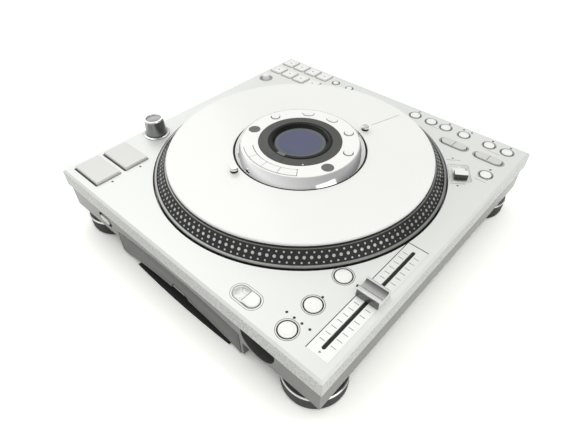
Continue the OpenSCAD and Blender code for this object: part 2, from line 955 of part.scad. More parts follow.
module foot_rings() {
    color("silver")
        each_foot()
            rotate_extrude($fn = fine)
                polygon([[neck_r + 0.1, foot_h], [foot_r, foot_h],
                         [foot_r, foot_h + ring_h - 0.6],
                         [foot_r - 0.6, foot_h + ring_h], [neck_r + 0.1, foot_h + ring_h]]);
}

// ---------------------------------------------------------------- platter

// One ring of dots on the sloping band; where runs from 0, outside, to 1
module strobe_row(n, r, where) {
    slope = atan2(strobe_z1 - strobe_z0, strobe_w);
    row_r = strobe_r1 - where * strobe_w;
    row_z = strobe_z0 + where * (strobe_z1 - strobe_z0);
    for (i = [0:n - 1])
        rotate([0, 0, i * 360 / n])
            translate([row_r, 0, row_z])
                rotate([0, slope, 0])
                    cylinder(r = r, h = dot_h, $fn = 16);
}

// Reflective dots, seated on the band in three rows
module strobe_dots() {
    color("silver")
        translate([platter_x, platter_y, 0]) {
            strobe_row(dots_outer, dot_small_r, 0.17);
            strobe_row(dots_middle, dot_big_r, 0.5);
            strobe_row(dots_inner, dot_small_r, 0.82);
        }
}

module platter() {
    under = platter_z1 - platter_t;
    bush_r = column_r + bush_gap;
    bush_z0 = platter_z0 + 1.8;
    boss_r = column_r + boss_wall;
    magnet_r0 = magnet_r - magnet_wall;
    magnet_z0 = under - magnet_drop;
    inner_r = platter_r - rim_wall;
    slope = strobe_w / (strobe_z1 - strobe_z0);
    color([0.2, 0.2, 0.21])
        translate([platter_x, platter_y, 0])
            rotate_extrude($fn = fine)
                polygon([[bush_r, bush_z0], [boss_r, bush_z0], [boss_r, under],
                         [magnet_r0, under], [magnet_r0, magnet_z0],
                         [magnet_r, magnet_z0], [magnet_r, under],
                         [inner_r - (under - strobe_z0) * slope, under],
                         [inner_r, strobe_z0], [inner_r, platter_z0],
                         [platter_r, platter_z0], [platter_r, rim_z - rim_bevel],
                         [platter_r - rim_bevel, rim_z], [strobe_r1 + 0.4, rim_z],
                         [strobe_r1, strobe_z0], [strobe_r0, strobe_z1],
                         [strobe_r0 - 0.4, platter_z1], [bush_r, platter_z1]]);
}

module platter_mat() {
    color([0.1, 0.1, 0.1])
        translate([platter_x, platter_y, 0])
            rise(mat_z, mat_z + mat_t)
                difference() {
                    circle(r = mat_r, $fn = fine);
                    circle(r = disc_hole_r + 1, $fn = fine);
                }
}

module scratch_disc() {
    color("whitesmoke")
        translate([platter_x, platter_y, 0])
            rotate_extrude($fn = fine)
                polygon([[disc_hole_r, disc_z0], [disc_r - 0.5, disc_z0],
                         [disc_r, disc_z0 + 0.5], [disc_r, disc_z1 - 0.8],
                         [disc_r - 0.8, disc_z1], [disc_hole_r + 0.4, disc_z1],
                         [disc_hole_r, disc_z1 - 0.4]]);
}

module disc_posts() {
    color("silver")
        for (a = post_angles)
            round_platter(a, post_orbit)
                rotate_extrude($fn = 48)
                    polygon([[0, disc_z1], [post_r, disc_z1], [post_r, disc_z1 + 0.3 * post_h],
                             [0.8 * post_r, disc_z1 + 0.38 * post_h],
                             [0.8 * post_r, disc_z1 + 0.52 * post_h],
                             [post_r, disc_z1 + 0.6 * post_h],
                             [post_r, disc_z1 + 0.85 * post_h],
                             [0.75 * post_r, disc_z1 + post_h], [0, disc_z1 + post_h]]);
}

// Nine coils round a core, on the floor of the well
module motor_coils() {
    core_w = 7;
    core_h = 4;
    coil_l = 7;
    core_r = magnet_r - magnet_wall - coil_gap - coil_l + 0.5;
    rise(well_z, well_z + core_h)
        difference() {
            circle(r = core_r, $fn = fine);
            circle(r = core_r - core_w, $fn = fine);
        }
    for (i = [0:8])
        rotate([0, 0, i * 40])
            translate([core_r - 0.5, 0, well_z + coil_r + 0.3])
                rotate([0, 90, 0])
                    cylinder(r = coil_r, h = coil_l, $fn = coarse);
}

// ---------------------------------------------------------------- centre hub

// Outline of bar key i, grown by g
module key_outline(i, g) {
    half = key_span / 2;
    difference() {
        intersection() {
            circle(r = key_out_r + g, $fn = fine);
            rotate([0, 0, key_angles[i]])
                polygon([[0, 0], [2 * key_out_r * cos(half), 2 * key_out_r * sin(half)],
                         [2 * key_out_r * cos(half), -2 * key_out_r * sin(half)]]);
        }
        circle(r = key_in_r - g, $fn = fine);
        for (s = [-1, 1])
            rotate([0, 0, key_angles[i] + s * half])
                translate([0, -key_line / 2 + g])
                    square([2 * key_out_r, key_line - 2 * g]);
    }
}

// Outline of small hub button i, grown by g
module hub_button_outline(i, g) {
    long = hub_buttons[i][1];
    rotate([0, 0, hub_buttons[i][0]])
        translate([hub_button_orbit, 0])
            rotate([0, 0, 90])
                slot(2 * (hub_button_r + long + g), 2 * (hub_button_r + g));
}

module hub_housing() {
    color("whitesmoke")
        translate([platter_x, platter_y, 0])
            difference() {
                rotate_extrude($fn = fine)
                    polygon([
                        [hub_cable_r, well_z], [column_r, well_z], [column_r, hub_z0],
                        [hub_top_r, hub_z0], [hub_top_r, hub_z1], [window_r + 0.1, hub_z1],
                        [window_r + 0.1, hub_z1 - window_t], [0, hub_z1 - window_t],
                        [0, hub_cavity_z1], [hub_top_r - hub_wall, hub_cavity_z1],
                        [hub_top_r - hub_wall, hub_cavity_z0],
                        [hub_cable_r, hub_cavity_z0]]);
                for (i = [0:3])
                    rise(hub_cavity_z1 - cut, hub_z1 + cut)
                        key_outline(i, hub_key_gap);
                for (i = [0:4])
                    rise(hub_cavity_z1 - cut, hub_z1 + cut)
                        hub_button_outline(i, button_gap);
                for (a = hub_spots)
                    rotate([0, 0, a])
                        translate([hub_button_orbit, 0, 0])
                            rise(hub_z1 - hub_spot_depth, hub_z1 + cut)
                                circle(r = hub_spot_r, $fn = 48);
            }
}

hub_key_gap = 0.2;

// Bar key i in the front of the hub
module hub_key(i) {
    color("lightgray")
        translate([platter_x, platter_y, 0]) {
            rise(hub_cavity_z1 + 0.5, hub_z1 + hub_key_rise)
                key_outline(i, 0);
            rotate([0, 0, key_angles[i]])
                translate([(key_in_r + key_out_r) / 2, 0, 0])
                    rise(hub_cavity_z0 + hub_board_t + button_travel + 0.2,
                         hub_cavity_z1 + 0.51)
                        circle(r = 2, $fn = coarse);
        }
}

// Small hub button i
module hub_button(i) {
    color("whitesmoke")
        translate([platter_x, platter_y, 0]) {
            rise(hub_cavity_z1 + 0.5, hub_z1 + 1)
                hub_button_outline(i, 0);
            rotate([0, 0, hub_buttons[i][0]])
                translate([hub_button_orbit, 0, 0])
                    rise(hub_cavity_z0 + hub_board_t + button_travel + 0.2,
                         hub_cavity_z1 + 0.51)
                        circle(r = 2, $fn = coarse);
        }
}

// Chrome collar: flat lip, hollowed slope and a short upright foot
module hub_collar() {
    h = hub_z1 - hub_z0;
    w = collar_r - hub_top_r;
    color("silver")
        translate([platter_x, platter_y, 0])
            rotate_extrude($fn = fine)
                polygon([[hub_top_r + 0.1, hub_z0], [collar_r, hub_z0],
                         [collar_r, hub_z0 + 0.16 * h],
                         [collar_r - 0.1 * w, hub_z0 + 0.3 * h],
                         [collar_r - 0.3 * w, hub_z0 + 0.52 * h],
                         [collar_r - 0.55 * w, hub_z0 + 0.76 * h],
                         [collar_r - 0.8 * w, hub_z0 + 0.95 * h],
                         [hub_top_r + 0.8, hub_z1], [hub_top_r + 0.1, hub_z1]]);
}

// Smoked round window with a raised ring round the display
module display_window() {
    z0 = hub_z1 - window_t;
    color([0.25, 0.25, 0.32])
        translate([platter_x, platter_y, 0])
            rotate_extrude($fn = fine)
                polygon([[0, z0], [window_r, z0], [window_r, hub_z1],
                         [window_r - 0.5, hub_z1 + 0.4],
                         [window_ring_r1 + 0.6, hub_z1 + 0.4],
                         [window_ring_r1 + 0.1, hub_z1 + 0.5],
                         [window_ring_r1 - 0.6, hub_z1 + window_step],
                         [window_ring_r0 + 0.6, hub_z1 + window_step],
                         [window_ring_r0, hub_z1 + window_step - 0.3],
                         [display_r, hub_z1 - display_sink],
                         [0, hub_z1 - display_sink]]);
}

// ---------------------------------------------------------------- controls

module cue_button() {
    color("gainsboro")
        block_key(cue_at, big_key_w, big_key_d, big_key_rise, 1);
}

module start_button() {
    color("gainsboro")
        block_key(start_at, big_key_w, big_key_d, big_key_rise, 1);
}

module store_button() {
    color("whitesmoke")
        round_button(store_at, small_button_r);
}

module bank_button() {
    color("whitesmoke")
        round_button(bank_at, small_button_r);
}

module power_button() {
    color("whitesmoke")
        round_button(power_at, rear_button_r);
}

// Close to the platter's well, so it has no flange
module reset_button() {
    color("gainsboro")
        round_button(reset_at, front_button_r, 0.8, 0);
}

module lock_button() {
    color("gainsboro")
        round_button(lock_at, front_button_r, 0.8);
}

module range_button() {
    color("gainsboro")
        round_button(range_at, front_button_r, 0.8);
}

// Rocker key: round-ended bar with a saddle across its middle, on a trunnion
module rocker(p) {
    top = deck_z + rocker_rise;
    color("whitesmoke")
        at(p) {
            difference() {
                rise(under_deck - 0.6, top)
                    slot(rocker_l, rocker_w);
                rise(top - 0.4, top + cut)
                    square([0.6, rocker_w + 2], center = true);
            }
            rise(rocker_pivot_z - 1, under_deck - 0.59)
                square([6, rocker_w - 2], center = true);
            translate([0, 0, rocker_pivot_z])
                rotate([90, 0, 0])
                    cylinder(r = trunnion_r, h = 2 * (rocker_ear_half + ear_t),
                             center = true, $fn = coarse);
        }
}

module rocker_left() {
    rocker(rocker_left_at);
}

module rocker_right() {
    rocker(rocker_right_at);
}

// Spring-centred lever: thumb block on a low plate, neck through the pocket's
// floor, trunnion
module search_lever() {
    low = 1.3 - pocket_depth;
    thumb = lever_thumb_l - lever_reach;
    color("whitesmoke")
        round_platter(lever_angle, lever_orbit)
            rotate([0, 0, 90]) {
                translate([0, 0, deck_z])
                    deep(-lever_cap_w / 2, lever_cap_w / 2)
                        polygon([[-lever_reach, low + 0.6], [-lever_cap_l / 2, low],
                                 [lever_cap_l / 2, low], [lever_cap_l / 2, 0.4],
                                 [thumb + 1.6, 1.2], [thumb + 0.5, lever_rise - 0.9],
                                 [thumb - 0.3, lever_rise - 0.1],
                                 [thumb - lever_thumb_l / 2, lever_rise - 0.5],
                                 [-lever_reach + 0.6, lever_rise],
                                 [-lever_reach, lever_rise - 0.6]]);
                rise(lever_pivot_z - 1, deck_z + low + 0.01)
                    square([lever_neck - 0.5, lever_neck], center = true);
                translate([0, 0, lever_pivot_z])
                    rotate([90, 0, 0])
                        cylinder(r = trunnion_r, h = 2 * (lever_ear_half + ear_t),
                                 center = true, $fn = coarse);
            }
}

// Outline of the mode knob: straight where it meets the recess's middle, round
// at its far end, drawn in by g
module mode_knob_outline(g) {
    r = mode_recess_w / 2 - mode_knob_gap;
    intersection() {
        slot(mode_recess_l - 2 * mode_knob_gap - 2 * g, 2 * (r - g));
        translate([g, -r])
            square([mode_recess_l, 2 * r]);
    }
}

// Knob of the mode slider, with its stem and the retaining foot
module mode_slider() {
    floor_z = deck_z - mode_depth;
    foot_z = floor_z - pocket_wall - flange_gap;
    bevel = 0.5;
    color("whitesmoke")
        at(mode_at) {
            rise(floor_z + 0.3, deck_z + mode_rise - bevel)
                mode_knob_outline(0);
            rise(deck_z + mode_rise - bevel - 0.01, deck_z + mode_rise)
                mode_knob_outline(bevel);
            translate([mode_stem_x, 0, 0]) {
                rise(foot_z - 1.4, floor_z + 0.31)
                    square([mode_stem, mode_stem], center = true);
                rise(foot_z - 1.4, foot_z)
                    square([6, 8], center = true);
            }
        }
}

// Fader cap: two ridges with a hollow saddle between, on a thin blade
module tempo_fader() {
    z0 = deck_z - fader_plate_depth + fader_cap_gap;
    h = fader_cap_h;
    half = fader_cap_l / 2;
    color("silver")
        at(fader_at) {
            rotate([0, 0, 90])
                difference() {
                    translate([0, 0, z0])
                        deep(-fader_cap_w / 2, fader_cap_w / 2)
                            polygon([[-half, 0], [half, 0], [half, 0.3 * h],
                                     [half - 1.2, 0.84 * h], [half - 2.4, h],
                                     [-half + 2.4, h], [-half + 1.2, 0.84 * h],
                                     [-half, 0.3 * h]]);
                    translate([0, 0, z0 + h + saddle_r - saddle_depth])
                        rotate([90, 0, 0])
                            cylinder(r = saddle_r, h = fader_cap_w + 2 * cut,
                                     center = true, $fn = fine);
                }
            rise(board_top + 2.3, z0 + 0.01)
                square([fader_blade_t, fader_blade_l], center = true);
        }
}

// Tall knob: flared foot, tapered side, bright rim and dished top
module track_knob() {
    r = tall_knob_r;
    h = tall_knob_h;
    color("silver")
        at(tall_knob_at)
            translate([0, 0, deck_z])
                rotate_extrude($fn = fine)
                    polygon([[0, stem_z - deck_z], [3, stem_z - deck_z], [3, 0.3],
                             [r + 2.5, 0.3], [r + 2.5, 0.9], [r + 1.2, 1.4],
                             [r, 1.4], [r - 0.45, 0.35 * h], [r - 0.85, 0.7 * h],
                             [r - 1.1, h - 1], [r - 1.6, h], [r - 2.8, h],
                             [r - 3.6, h - 1.5], [0, h - 1.9]]);
}

// Small level knob: domed cap on a shaft, low in its ring
module level_knob() {
    r = level_knob_r;
    z0 = deck_z - pocket_depth + 0.3;
    color("whitesmoke")
        at(level_knob_at)
            rotate_extrude($fn = fine)
                polygon([[0, stem_z], [2, stem_z], [2, z0], [r, z0], [r, deck_z + 3],
                         [0.9 * r, deck_z + 4.2], [0.62 * r, deck_z + 5.1],
                         [0, deck_z + 5.5]]);
}

module eject_button() {
    color("silver")
        translate([eject_at[0], 0, eject_at[1]]) {
            deep(case_front - eject_proud, case_front + eject_boss - 1)
                slot(eject_l, eject_w);
        }
}

// ---------------------------------------------------------------- disc drive

module tray_door() {
    color("darkgray")
        deep(case_front, door_back)
            difference() {
                door_outline(0);
                translate([0, -50])
                    square([2 * deck_w, 2 * (50 + belly_clear)], center = true);
            }
}

// Tray: raised rim, wells for both disc sizes, slot for spindle and laser
module disc_tray() {
    color([0.15, 0.15, 0.16])
        difference() {
            translate([disc_x - tray_w / 2, tray_front, tray_z])
                cube([tray_w, tray_len, tray_top - tray_z]);
            translate([disc_x, disc_y, 0]) {
                rise(tray_well_z, tray_top + cut)
                    circle(r = disc_well_r, $fn = fine);
                rise(tray_well_z - small_well_depth, tray_top + cut)
                    circle(r = small_well_r, $fn = fine);
                rise(tray_z - cut, tray_top + cut)
                    circle(r = tray_slot / 2, $fn = fine);
                translate([-tray_slot / 2, 0, tray_z - cut])
                    cube([tray_slot, tray_back - disc_y + cut, tray_top - tray_z + 2 * cut]);
            }
            for (s = [-1, 1])
                translate([disc_x + s * (tray_slot / 2 + 24), tray_back - 18, 0])
                    rise(tray_z + 2, tray_top + cut)
                        rounded(36, 28, 4);
        }
}

// Chassis: base, two walls with runners, clamp bridge, motor and guide rods
module drive_frame() {
    half = tray_w / 2;
    bridge_z = tray_top + 1.2;
    base_y0 = tray_front + 20;
    base_y1 = tray_back + 12;
    color([0.55, 0.56, 0.58])
        difference() {
            translate([disc_x, 0, 0]) {
                translate([-half - 6, base_y0, frame_z0])
                    cube([tray_w + 12, base_y1 - base_y0, frame_base_t]);
                for (s = [-1, 1]) {
                    translate([s * (half + 3.5) - 2.5, base_y0, frame_z0])
                        cube([5, base_y1 - base_y0, bridge_z + 3 - frame_z0]);
                    translate([s * (half - 1) - 3, base_y0, tray_z - runner_gap - rail_t])
                        cube([6, base_y1 - base_y0, rail_t]);
                    translate([s * rod_half, sled_rod_y0(), sled_z0 + 4])
                        rotate([-90, 0, 0])
                            cylinder(r = rod_r, h = sled_rod_len(), $fn = coarse);
                    for (y = [sled_rod_y0(), sled_rod_y0() + sled_rod_len() - 3])
                        translate([s * rod_half - 3, y, frame_z0])
                            cube([6, 3, sled_z0 + 7 - frame_z0]);
                }
                translate([-half - 6, disc_y - 16, bridge_z])
                    cube([tray_w + 12, 32, 3]);
                translate([0, disc_y, bridge_z - 0.8])
                    cylinder(r = 14, h = 1.8, $fn = fine);
                translate([0, disc_y, frame_z0])
                    cylinder(r = spindle_motor_r, h = tray_z - 6 - frame_z0, $fn = fine);
            }
            translate([disc_x, disc_y, frame_z0 + 3])
                cylinder(r = spindle_r + rod_gap, h = 40, $fn = coarse);
        }
}

function sled_rod_y0() = sled_y - sled_l / 2 - 5;
function sled_rod_len() = sled_l + sled_travel + 10;

// Spindle: shaft in the motor, flange under the disc, centring cone
module disc_spindle() {
    z0 = tray_z - 5.5;
    color([0.75, 0.76, 0.78])
        translate([disc_x, disc_y, 0])
            rotate_extrude($fn = fine)
                polygon([[0, frame_z0 + 3.4], [spindle_r, frame_z0 + 3.4], [spindle_r, z0],
                         [spindle_flange_r, z0], [spindle_flange_r, tray_well_z + 0.2],
                         [spindle_cone_r, tray_well_z + 0.2],
                         [spindle_cone_r - 0.3, spindle_top - 0.8],
                         [spindle_cone_r - 1.6, spindle_top], [0, spindle_top]]);
}

// Laser sled on its two rods, with the lens on top
module laser_sled() {
    color([0.2, 0.2, 0.22])
        translate([disc_x, sled_y, 0]) {
            difference() {
                rise(sled_z0, sled_z0 + sled_h)
                    rounded(sled_w, sled_l, 3);
                for (s = [-1, 1])
                    translate([s * rod_half, 0, sled_z0 + 4])
                        rotate([90, 0, 0])
                            cylinder(r = rod_r + rod_gap, h = sled_l + 2 * cut,
                                     center = true, $fn = coarse);
            }
            rise(sled_z0 + sled_h - 0.01, sled_z0 + sled_h + 2.2)
                rounded(16, 14, 2);
            rise(sled_z0 + sled_h + 2.19, sled_z0 + sled_h + 3.2)
                circle(r = lens_r, $fn = coarse);
        }
}

// ---------------------------------------------------------------- electronics

// Corner board under the deck, cut back round the platter's well
module corner_board(x0, y0, x1, y1) {
    rise(board_top - board_t, board_top)
        difference() {
            translate([x0, y0])
                square([x1 - x0, y1 - y0]);
            translate([platter_x, platter_y])
                circle(r = well_r + well_wall + 1, $fn = fine);
        }
}

module circuit_boards() {
    color([0.72, 0.45, 0.2])
        translate([platter_x, platter_y, 0])
            motor_coils();
    wall = slab_wall + lip_gap() + lip_t + 0.6;
    x0 = left + wall;
    x1 = right - wall;
    y0 = front + wall;
    y1 = back - wall;
    floor_z = case_z0 + case_wall + 4;
    color([0.13, 0.35, 0.2]) {
        corner_board(x0, y0, left + 76, front + 115);
        corner_board(right - 120, y0, x1, front + 150);
        corner_board(x0, back - 90, left + 125, y1);
        corner_board(right - 140, back - 90, x1, y1);
        translate([left + 8, -105, floor_z])
            cube([64, 225, board_t]);
        translate([right - 70, -105, floor_z])
            cube([62, 225, board_t]);
        translate([platter_x, platter_y, 0])
            rise(hub_cavity_z0, hub_cavity_z0 + hub_board_t)
                difference() {
                    circle(r = hub_top_r - hub_wall - 0.2, $fn = fine);
                    circle(r = hub_cable_r, $fn = fine);
                }
    }
    color([0.2, 0.2, 0.2]) {
        at(fader_at)
            rise(board_top, board_top + 2)
                square([12, fader_slot + 10], center = true);
        translate([left + 24, -60, floor_z + board_t])
            cube([28, 28, 2.5]);
        translate([left + 30, 20, floor_z + board_t])
            cube([16, 20, 2]);
        translate([right - 56, 30, floor_z + board_t])
            cube([34, 40, 14]);
        for (i = [0:2])
            translate([right - 24, -70 + 24 * i, 0])
                rise(floor_z + board_t, floor_z + board_t + 13)
                    circle(r = 8, $fn = coarse);
    }
    color("silver")
        translate([moon_x - 15, case_front + moon_depth + case_wall + 0.3, card_slot_z - 2])
            difference() {
                cube([30, 30, card_slot_h + 4]);
                translate([15 - card_slot_w / 2, -cut, 2])
                    cube([card_slot_w, 27, card_slot_h]);
            }
}

module rear_sockets() {
    plate_y = case_back - socket_pocket_depth;
    x0 = socket_pocket_x - socket_pocket_w / 2;
    mid_z = socket_pocket_z + socket_pocket_h / 2;
    color([0.15, 0.15, 0.16]) {
        difference() {
            union() {
                translate([x0 + 0.2, plate_y - socket_plate_t, socket_pocket_z + 0.2])
                    cube([socket_pocket_w - 0.4, socket_plate_t, socket_pocket_h - 0.4]);
                for (dx = jack_from_left)
                    translate([x0 + dx, plate_y - 0.01, mid_z])
                        rotate([-90, 0, 0])
                            cylinder(r = jack_r, h = 2, $fn = coarse);
                for (dx = rca_from_left)
                    translate([x0 + dx, plate_y - 0.01, mid_z])
                        rotate([-90, 0, 0])
                            cylinder(r = rca_r, h = rca_len, $fn = coarse);
            }
            for (dx = jack_from_left)
                translate([x0 + dx, plate_y - socket_plate_t - cut, mid_z])
                    rotate([-90, 0, 0])
                        cylinder(r = jack_bore_r, h = 10, $fn = coarse);
            for (dx = rca_from_left)
                translate([x0 + dx, plate_y + 1, mid_z])
                    rotate([-90, 0, 0])
                        cylinder(r = rca_pin_r, h = rca_len + cut, $fn = coarse);
        }
        translate([inlet_x, 0, inlet_z])
            difference() {
                deep(case_back - inlet_depth - inlet_wall, case_back - 0.3)
                    rounded(inlet_w + 2 * inlet_wall - 0.4, inlet_h + 2 * inlet_wall - 0.4, 4);
                deep(case_back - inlet_depth, case_back + cut)
                    rounded(inlet_w, inlet_h, 4.2);
            }
        for (s = [-1, 1])
            translate([inlet_x + s * inlet_pin_half, case_back - inlet_depth - 0.01, inlet_z])
                rotate([-90, 0, 0])
                    cylinder(r = inlet_pin_r, h = inlet_depth - 3, $fn = coarse);
    }
}

// ---------------------------------------------------------------- nodes

top_panel();
lower_case();
bottom_cover();
feet();
foot_rings();
hub_housing();
hub_collar();
display_window();
drive_frame();
circuit_boards();
rear_sockets();
screws();
platter();
strobe_dots();
platter_mat();
scratch_disc();
disc_posts();
disc_tray();
tray_door();
disc_spindle();
laser_sled();
tempo_fader();
mode_slider();
search_lever();
track_knob();
level_knob();
rocker_left();
rocker_right();
cue_button();
start_button();
pad(0);  // pad_1
pad(1);  // pad_2
pad(2);  // pad_3
pad(3);  // pad_4
pad(4);  // pad_5
pad(5);  // pad_6
pad(6);  // pad_7
pad(7);  // pad_8
store_button();
bank_button();
rear_button(0);  // rear_button_1
rear_button(1);  // rear_button_2
rear_button(2);  // rear_button_3
rear_button(3);  // rear_button_4
rear_button(4);  // rear_button_5
rear_button(5);  // rear_button_6
power_button();
reset_button();
lock_button();
range_button();
hub_key(0);  // hub_key_1
hub_key(1);  // hub_key_2
hub_key(2);  // hub_key_3
hub_key(3);  // hub_key_4
hub_button(0);  // hub_button_1
hub_button(1);  // hub_button_2
hub_button(2);  // hub_button_3
hub_button(3);  // hub_button_4
hub_button(4);  // hub_button_5
eject_button();
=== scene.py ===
# %% [markdown]
# # Dressing a tabletop disc player
#
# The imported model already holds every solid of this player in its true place:
# the metal deck, the platter with its strobe dots, the keys, the fader and the
# tray.  This script gives each of them its finish, adds what is printed on or
# set into the surfaces, and lights the result like a product photograph.

import math

import bmesh
import bpy
import numpy as np
from mathutils import Matrix, Vector


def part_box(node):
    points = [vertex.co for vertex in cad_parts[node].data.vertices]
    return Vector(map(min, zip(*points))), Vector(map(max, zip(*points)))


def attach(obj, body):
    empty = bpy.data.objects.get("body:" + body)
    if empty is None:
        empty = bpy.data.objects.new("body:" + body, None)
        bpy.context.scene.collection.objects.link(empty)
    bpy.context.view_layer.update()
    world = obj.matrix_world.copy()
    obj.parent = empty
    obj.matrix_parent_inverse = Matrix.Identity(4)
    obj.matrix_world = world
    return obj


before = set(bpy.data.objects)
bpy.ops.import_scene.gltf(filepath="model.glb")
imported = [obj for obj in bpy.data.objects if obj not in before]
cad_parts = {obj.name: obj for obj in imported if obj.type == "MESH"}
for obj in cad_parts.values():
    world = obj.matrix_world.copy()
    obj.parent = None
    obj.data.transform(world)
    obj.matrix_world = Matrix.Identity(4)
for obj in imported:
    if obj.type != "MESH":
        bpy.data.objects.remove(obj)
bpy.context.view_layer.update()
bpy.context.scene.view_settings.view_transform = "Standard"
MM = 0.001

# %% [markdown]
# ## Where things are
#
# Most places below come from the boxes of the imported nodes, so a print or a
# lamp follows its key when the source changes.


# %% Places from the frame
def middle(node):
    """Centre of a node's box as an array: half of lowest plus highest corner."""
    low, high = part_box(node)
    return (np.array(low) + np.array(high)) / 2


def top_of(node):
    """Highest level of a node."""
    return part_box(node)[1].z


def ray(degrees):
    """Unit step in a direction: cosine along X, sine along Y."""
    a = math.radians(degrees)
    return np.array([math.cos(a), math.sin(a)])


DECK_TOP = top_of("top_panel")
DISC_TOP = top_of("scratch_disc")
HUB = middle("hub_housing")[:2]
HUB_TOP = top_of("hub_housing")
DECK_LOW, DECK_HIGH = (np.array(c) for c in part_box("top_panel"))
print("deck top", round(DECK_TOP / MM, 2), "hub at", HUB / MM)

# %% [markdown]
# ## Camera
#
# The photograph looks down on the front right corner through a fairly wide
# lens from close by, which makes the near corner large.  The camera stands at
# the place and turn that were worked out from the deck's straight edges.  Its
# axes are the columns of its matrix: right, up, and backwards.

# %% Set the camera
CAMERA_AT = Vector((0.24496, -0.28083, 0.34550))
CAMERA_FORWARD = Vector((-0.48207, 0.53153, -0.69647)).normalized()
CAMERA_RIGHT = Vector((0.74259, 0.66974, -0.00286)).normalized()
CAMERA_LENS = 28.12

camera_up = CAMERA_RIGHT.cross(CAMERA_FORWARD).normalized()
camera_axes = Matrix((CAMERA_RIGHT, camera_up, -CAMERA_FORWARD)).transposed()
camera_data = bpy.data.cameras.new("camera")
camera_data.lens = CAMERA_LENS
camera_data.sensor_width = 36.0
camera_data.clip_start = 0.01
camera = bpy.data.objects.new("camera", camera_data)
camera.matrix_world = Matrix.Translation(CAMERA_AT) @ camera_axes.to_4x4()
bpy.context.scene.collection.objects.link(camera)
bpy.context.scene.camera = camera
print("camera", tuple(round(v, 3) for v in CAMERA_AT))

# %% [markdown]
# ## Shader arithmetic
#
# A finish is mostly arithmetic on positions: how far a point is from the hub,
# how high it sits, how a wave runs round it.  `Wire` wraps a socket so that
# this arithmetic reads as Python.  `Paint` holds one material, or the world,
# and adds every node through one method.


# %% A socket that takes part in arithmetic
class Wire:
    """A shader socket with the operators of a number."""

    def __init__(self, paint, socket):
        self.paint = paint
        self.socket = socket

    def math(self, operation, *others):
        """This value and the others through one Math node."""
        return self.paint.add("Math", dict(enumerate([self, *others])),
                              {"operation": operation})

    def __add__(self, other):
        return self.math("ADD", other)

    def __sub__(self, other):
        return self.math("SUBTRACT", other)

    def __mul__(self, other):
        return self.math("MULTIPLY", other)

    def __pow__(self, other):
        return self.math("POWER", other)

    def above(self, edge):
        """1 where the value is over the edge, otherwise 0."""
        return self.math("GREATER_THAN", edge)

    def below(self, edge):
        """1 where the value is under the edge, otherwise 0."""
        return self.math("LESS_THAN", edge)

    def between(self, low, high):
        """1 from low to high, otherwise 0."""
        return self.above(low) * self.below(high)

    def ramp(self, low, high):
        """0 at low, 1 at high, a straight line between them."""
        return self.paint.add("MapRange", {
            "Value": self, "From Min": low, "From Max": high})


# %% One material and its nodes
class Paint:
    """One material, or an owner such as the world, built node by node."""

    def __init__(self, name, owner=None):
        self.owner = owner or bpy.data.materials.new(name)
        self.owner.use_nodes = True
        self.nodes = self.owner.node_tree.nodes
        self.links = self.owner.node_tree.links
        self.nodes.clear()

    def add(self, kind, inputs=None, settings=None, output=0):
        """Adds a shader node with settings and inputs, and gives an output."""
        node = self.nodes.new("ShaderNode" + kind)
        for key, value in (settings or {}).items():
            setattr(node, key, value)
        for key, value in (inputs or {}).items():
            if isinstance(value, Wire):
                self.links.new(value.socket, node.inputs[key])
            else:
                node.inputs[key].default_value = value
        return Wire(self, node.outputs[output])

    def place(self):
        """Object coordinates as three wires, in metres."""
        split = self.add("SeparateXYZ", {0: self.add("TexCoord", output=3)})
        return [Wire(self, socket) for socket in split.socket.node.outputs]

    def polar(self, centre):
        """Distance from an upright axis, and the angle round it."""
        x, y, _ = self.place()
        dx, dy = x - centre[0], y - centre[1]
        radius = (dx * dx + dy * dy) ** 0.5
        return radius, dy.math("ARCTAN2", dx)

    def rings(self, centre, scale, detail=2.0, by_height=True):
        """Rings as a lathe leaves them: noise of the radius and the height."""
        radius, _ = self.polar(centre)
        inputs = {0: radius}
        if by_height:
            inputs[2] = self.place()[2]
        spot = self.add("CombineXYZ", inputs)
        return self.add("TexNoise", {"Vector": spot, "Scale": scale,
                                     "Detail": detail})

    def noise(self, scale, detail=2.0, roughness=0.5, stretch=(1, 1, 1)):
        """Noise in object space, 0 to 1, finer as the scale grows."""
        spot = self.add("Mapping", {0: self.add("TexCoord", output=3), 3: stretch})
        return self.add("TexNoise", {"Vector": spot, "Scale": scale,
                                     "Detail": detail, "Roughness": roughness})

    def mix(self, low, high, factor):
        """From one colour to another by a factor of 0 to 1."""
        return self.add("Mix", {0: factor, 6: low, 7: high},
                        {"data_type": "RGBA"}, output=2)

    def bump(self, height, distance):
        """Normal from a height of 0 to 1 that is worth distance metres."""
        return self.add("Bump", {"Height": height, "Distance": distance})

    def finish(self, **sockets):
        """Joins a Principled shader; words stand for its sockets."""
        inputs = {key.replace("_", " ").title().replace("Ior", "IOR"): value
                  for key, value in sockets.items()}
        self.show(self.add("BsdfPrincipled", inputs))
        return self.owner

    def show(self, shader, kind="OutputMaterial"):
        """Sends a shader to the surface of the material or the world."""
        output = self.nodes.new("ShaderNode" + kind)
        self.links.new(shader.socket, output.inputs["Surface"])


def grey(level, tint=(0.0, 0.0, 0.0)):
    """Linear colour of one level with a small tint."""
    return (*(level + part for part in tint), 1.0)


# %% [markdown]
# ## Paint and plastic
#
# The deck is a metal casting in pale silver paint: almost white in soft light,
# with a fine grain and a broad soft sheen.  Moulded parts have a shallower,
# coarser grain.  Both come from one recipe: a colour that drifts a little over
# the surface, a roughness that follows the same drift, and a fine bump.


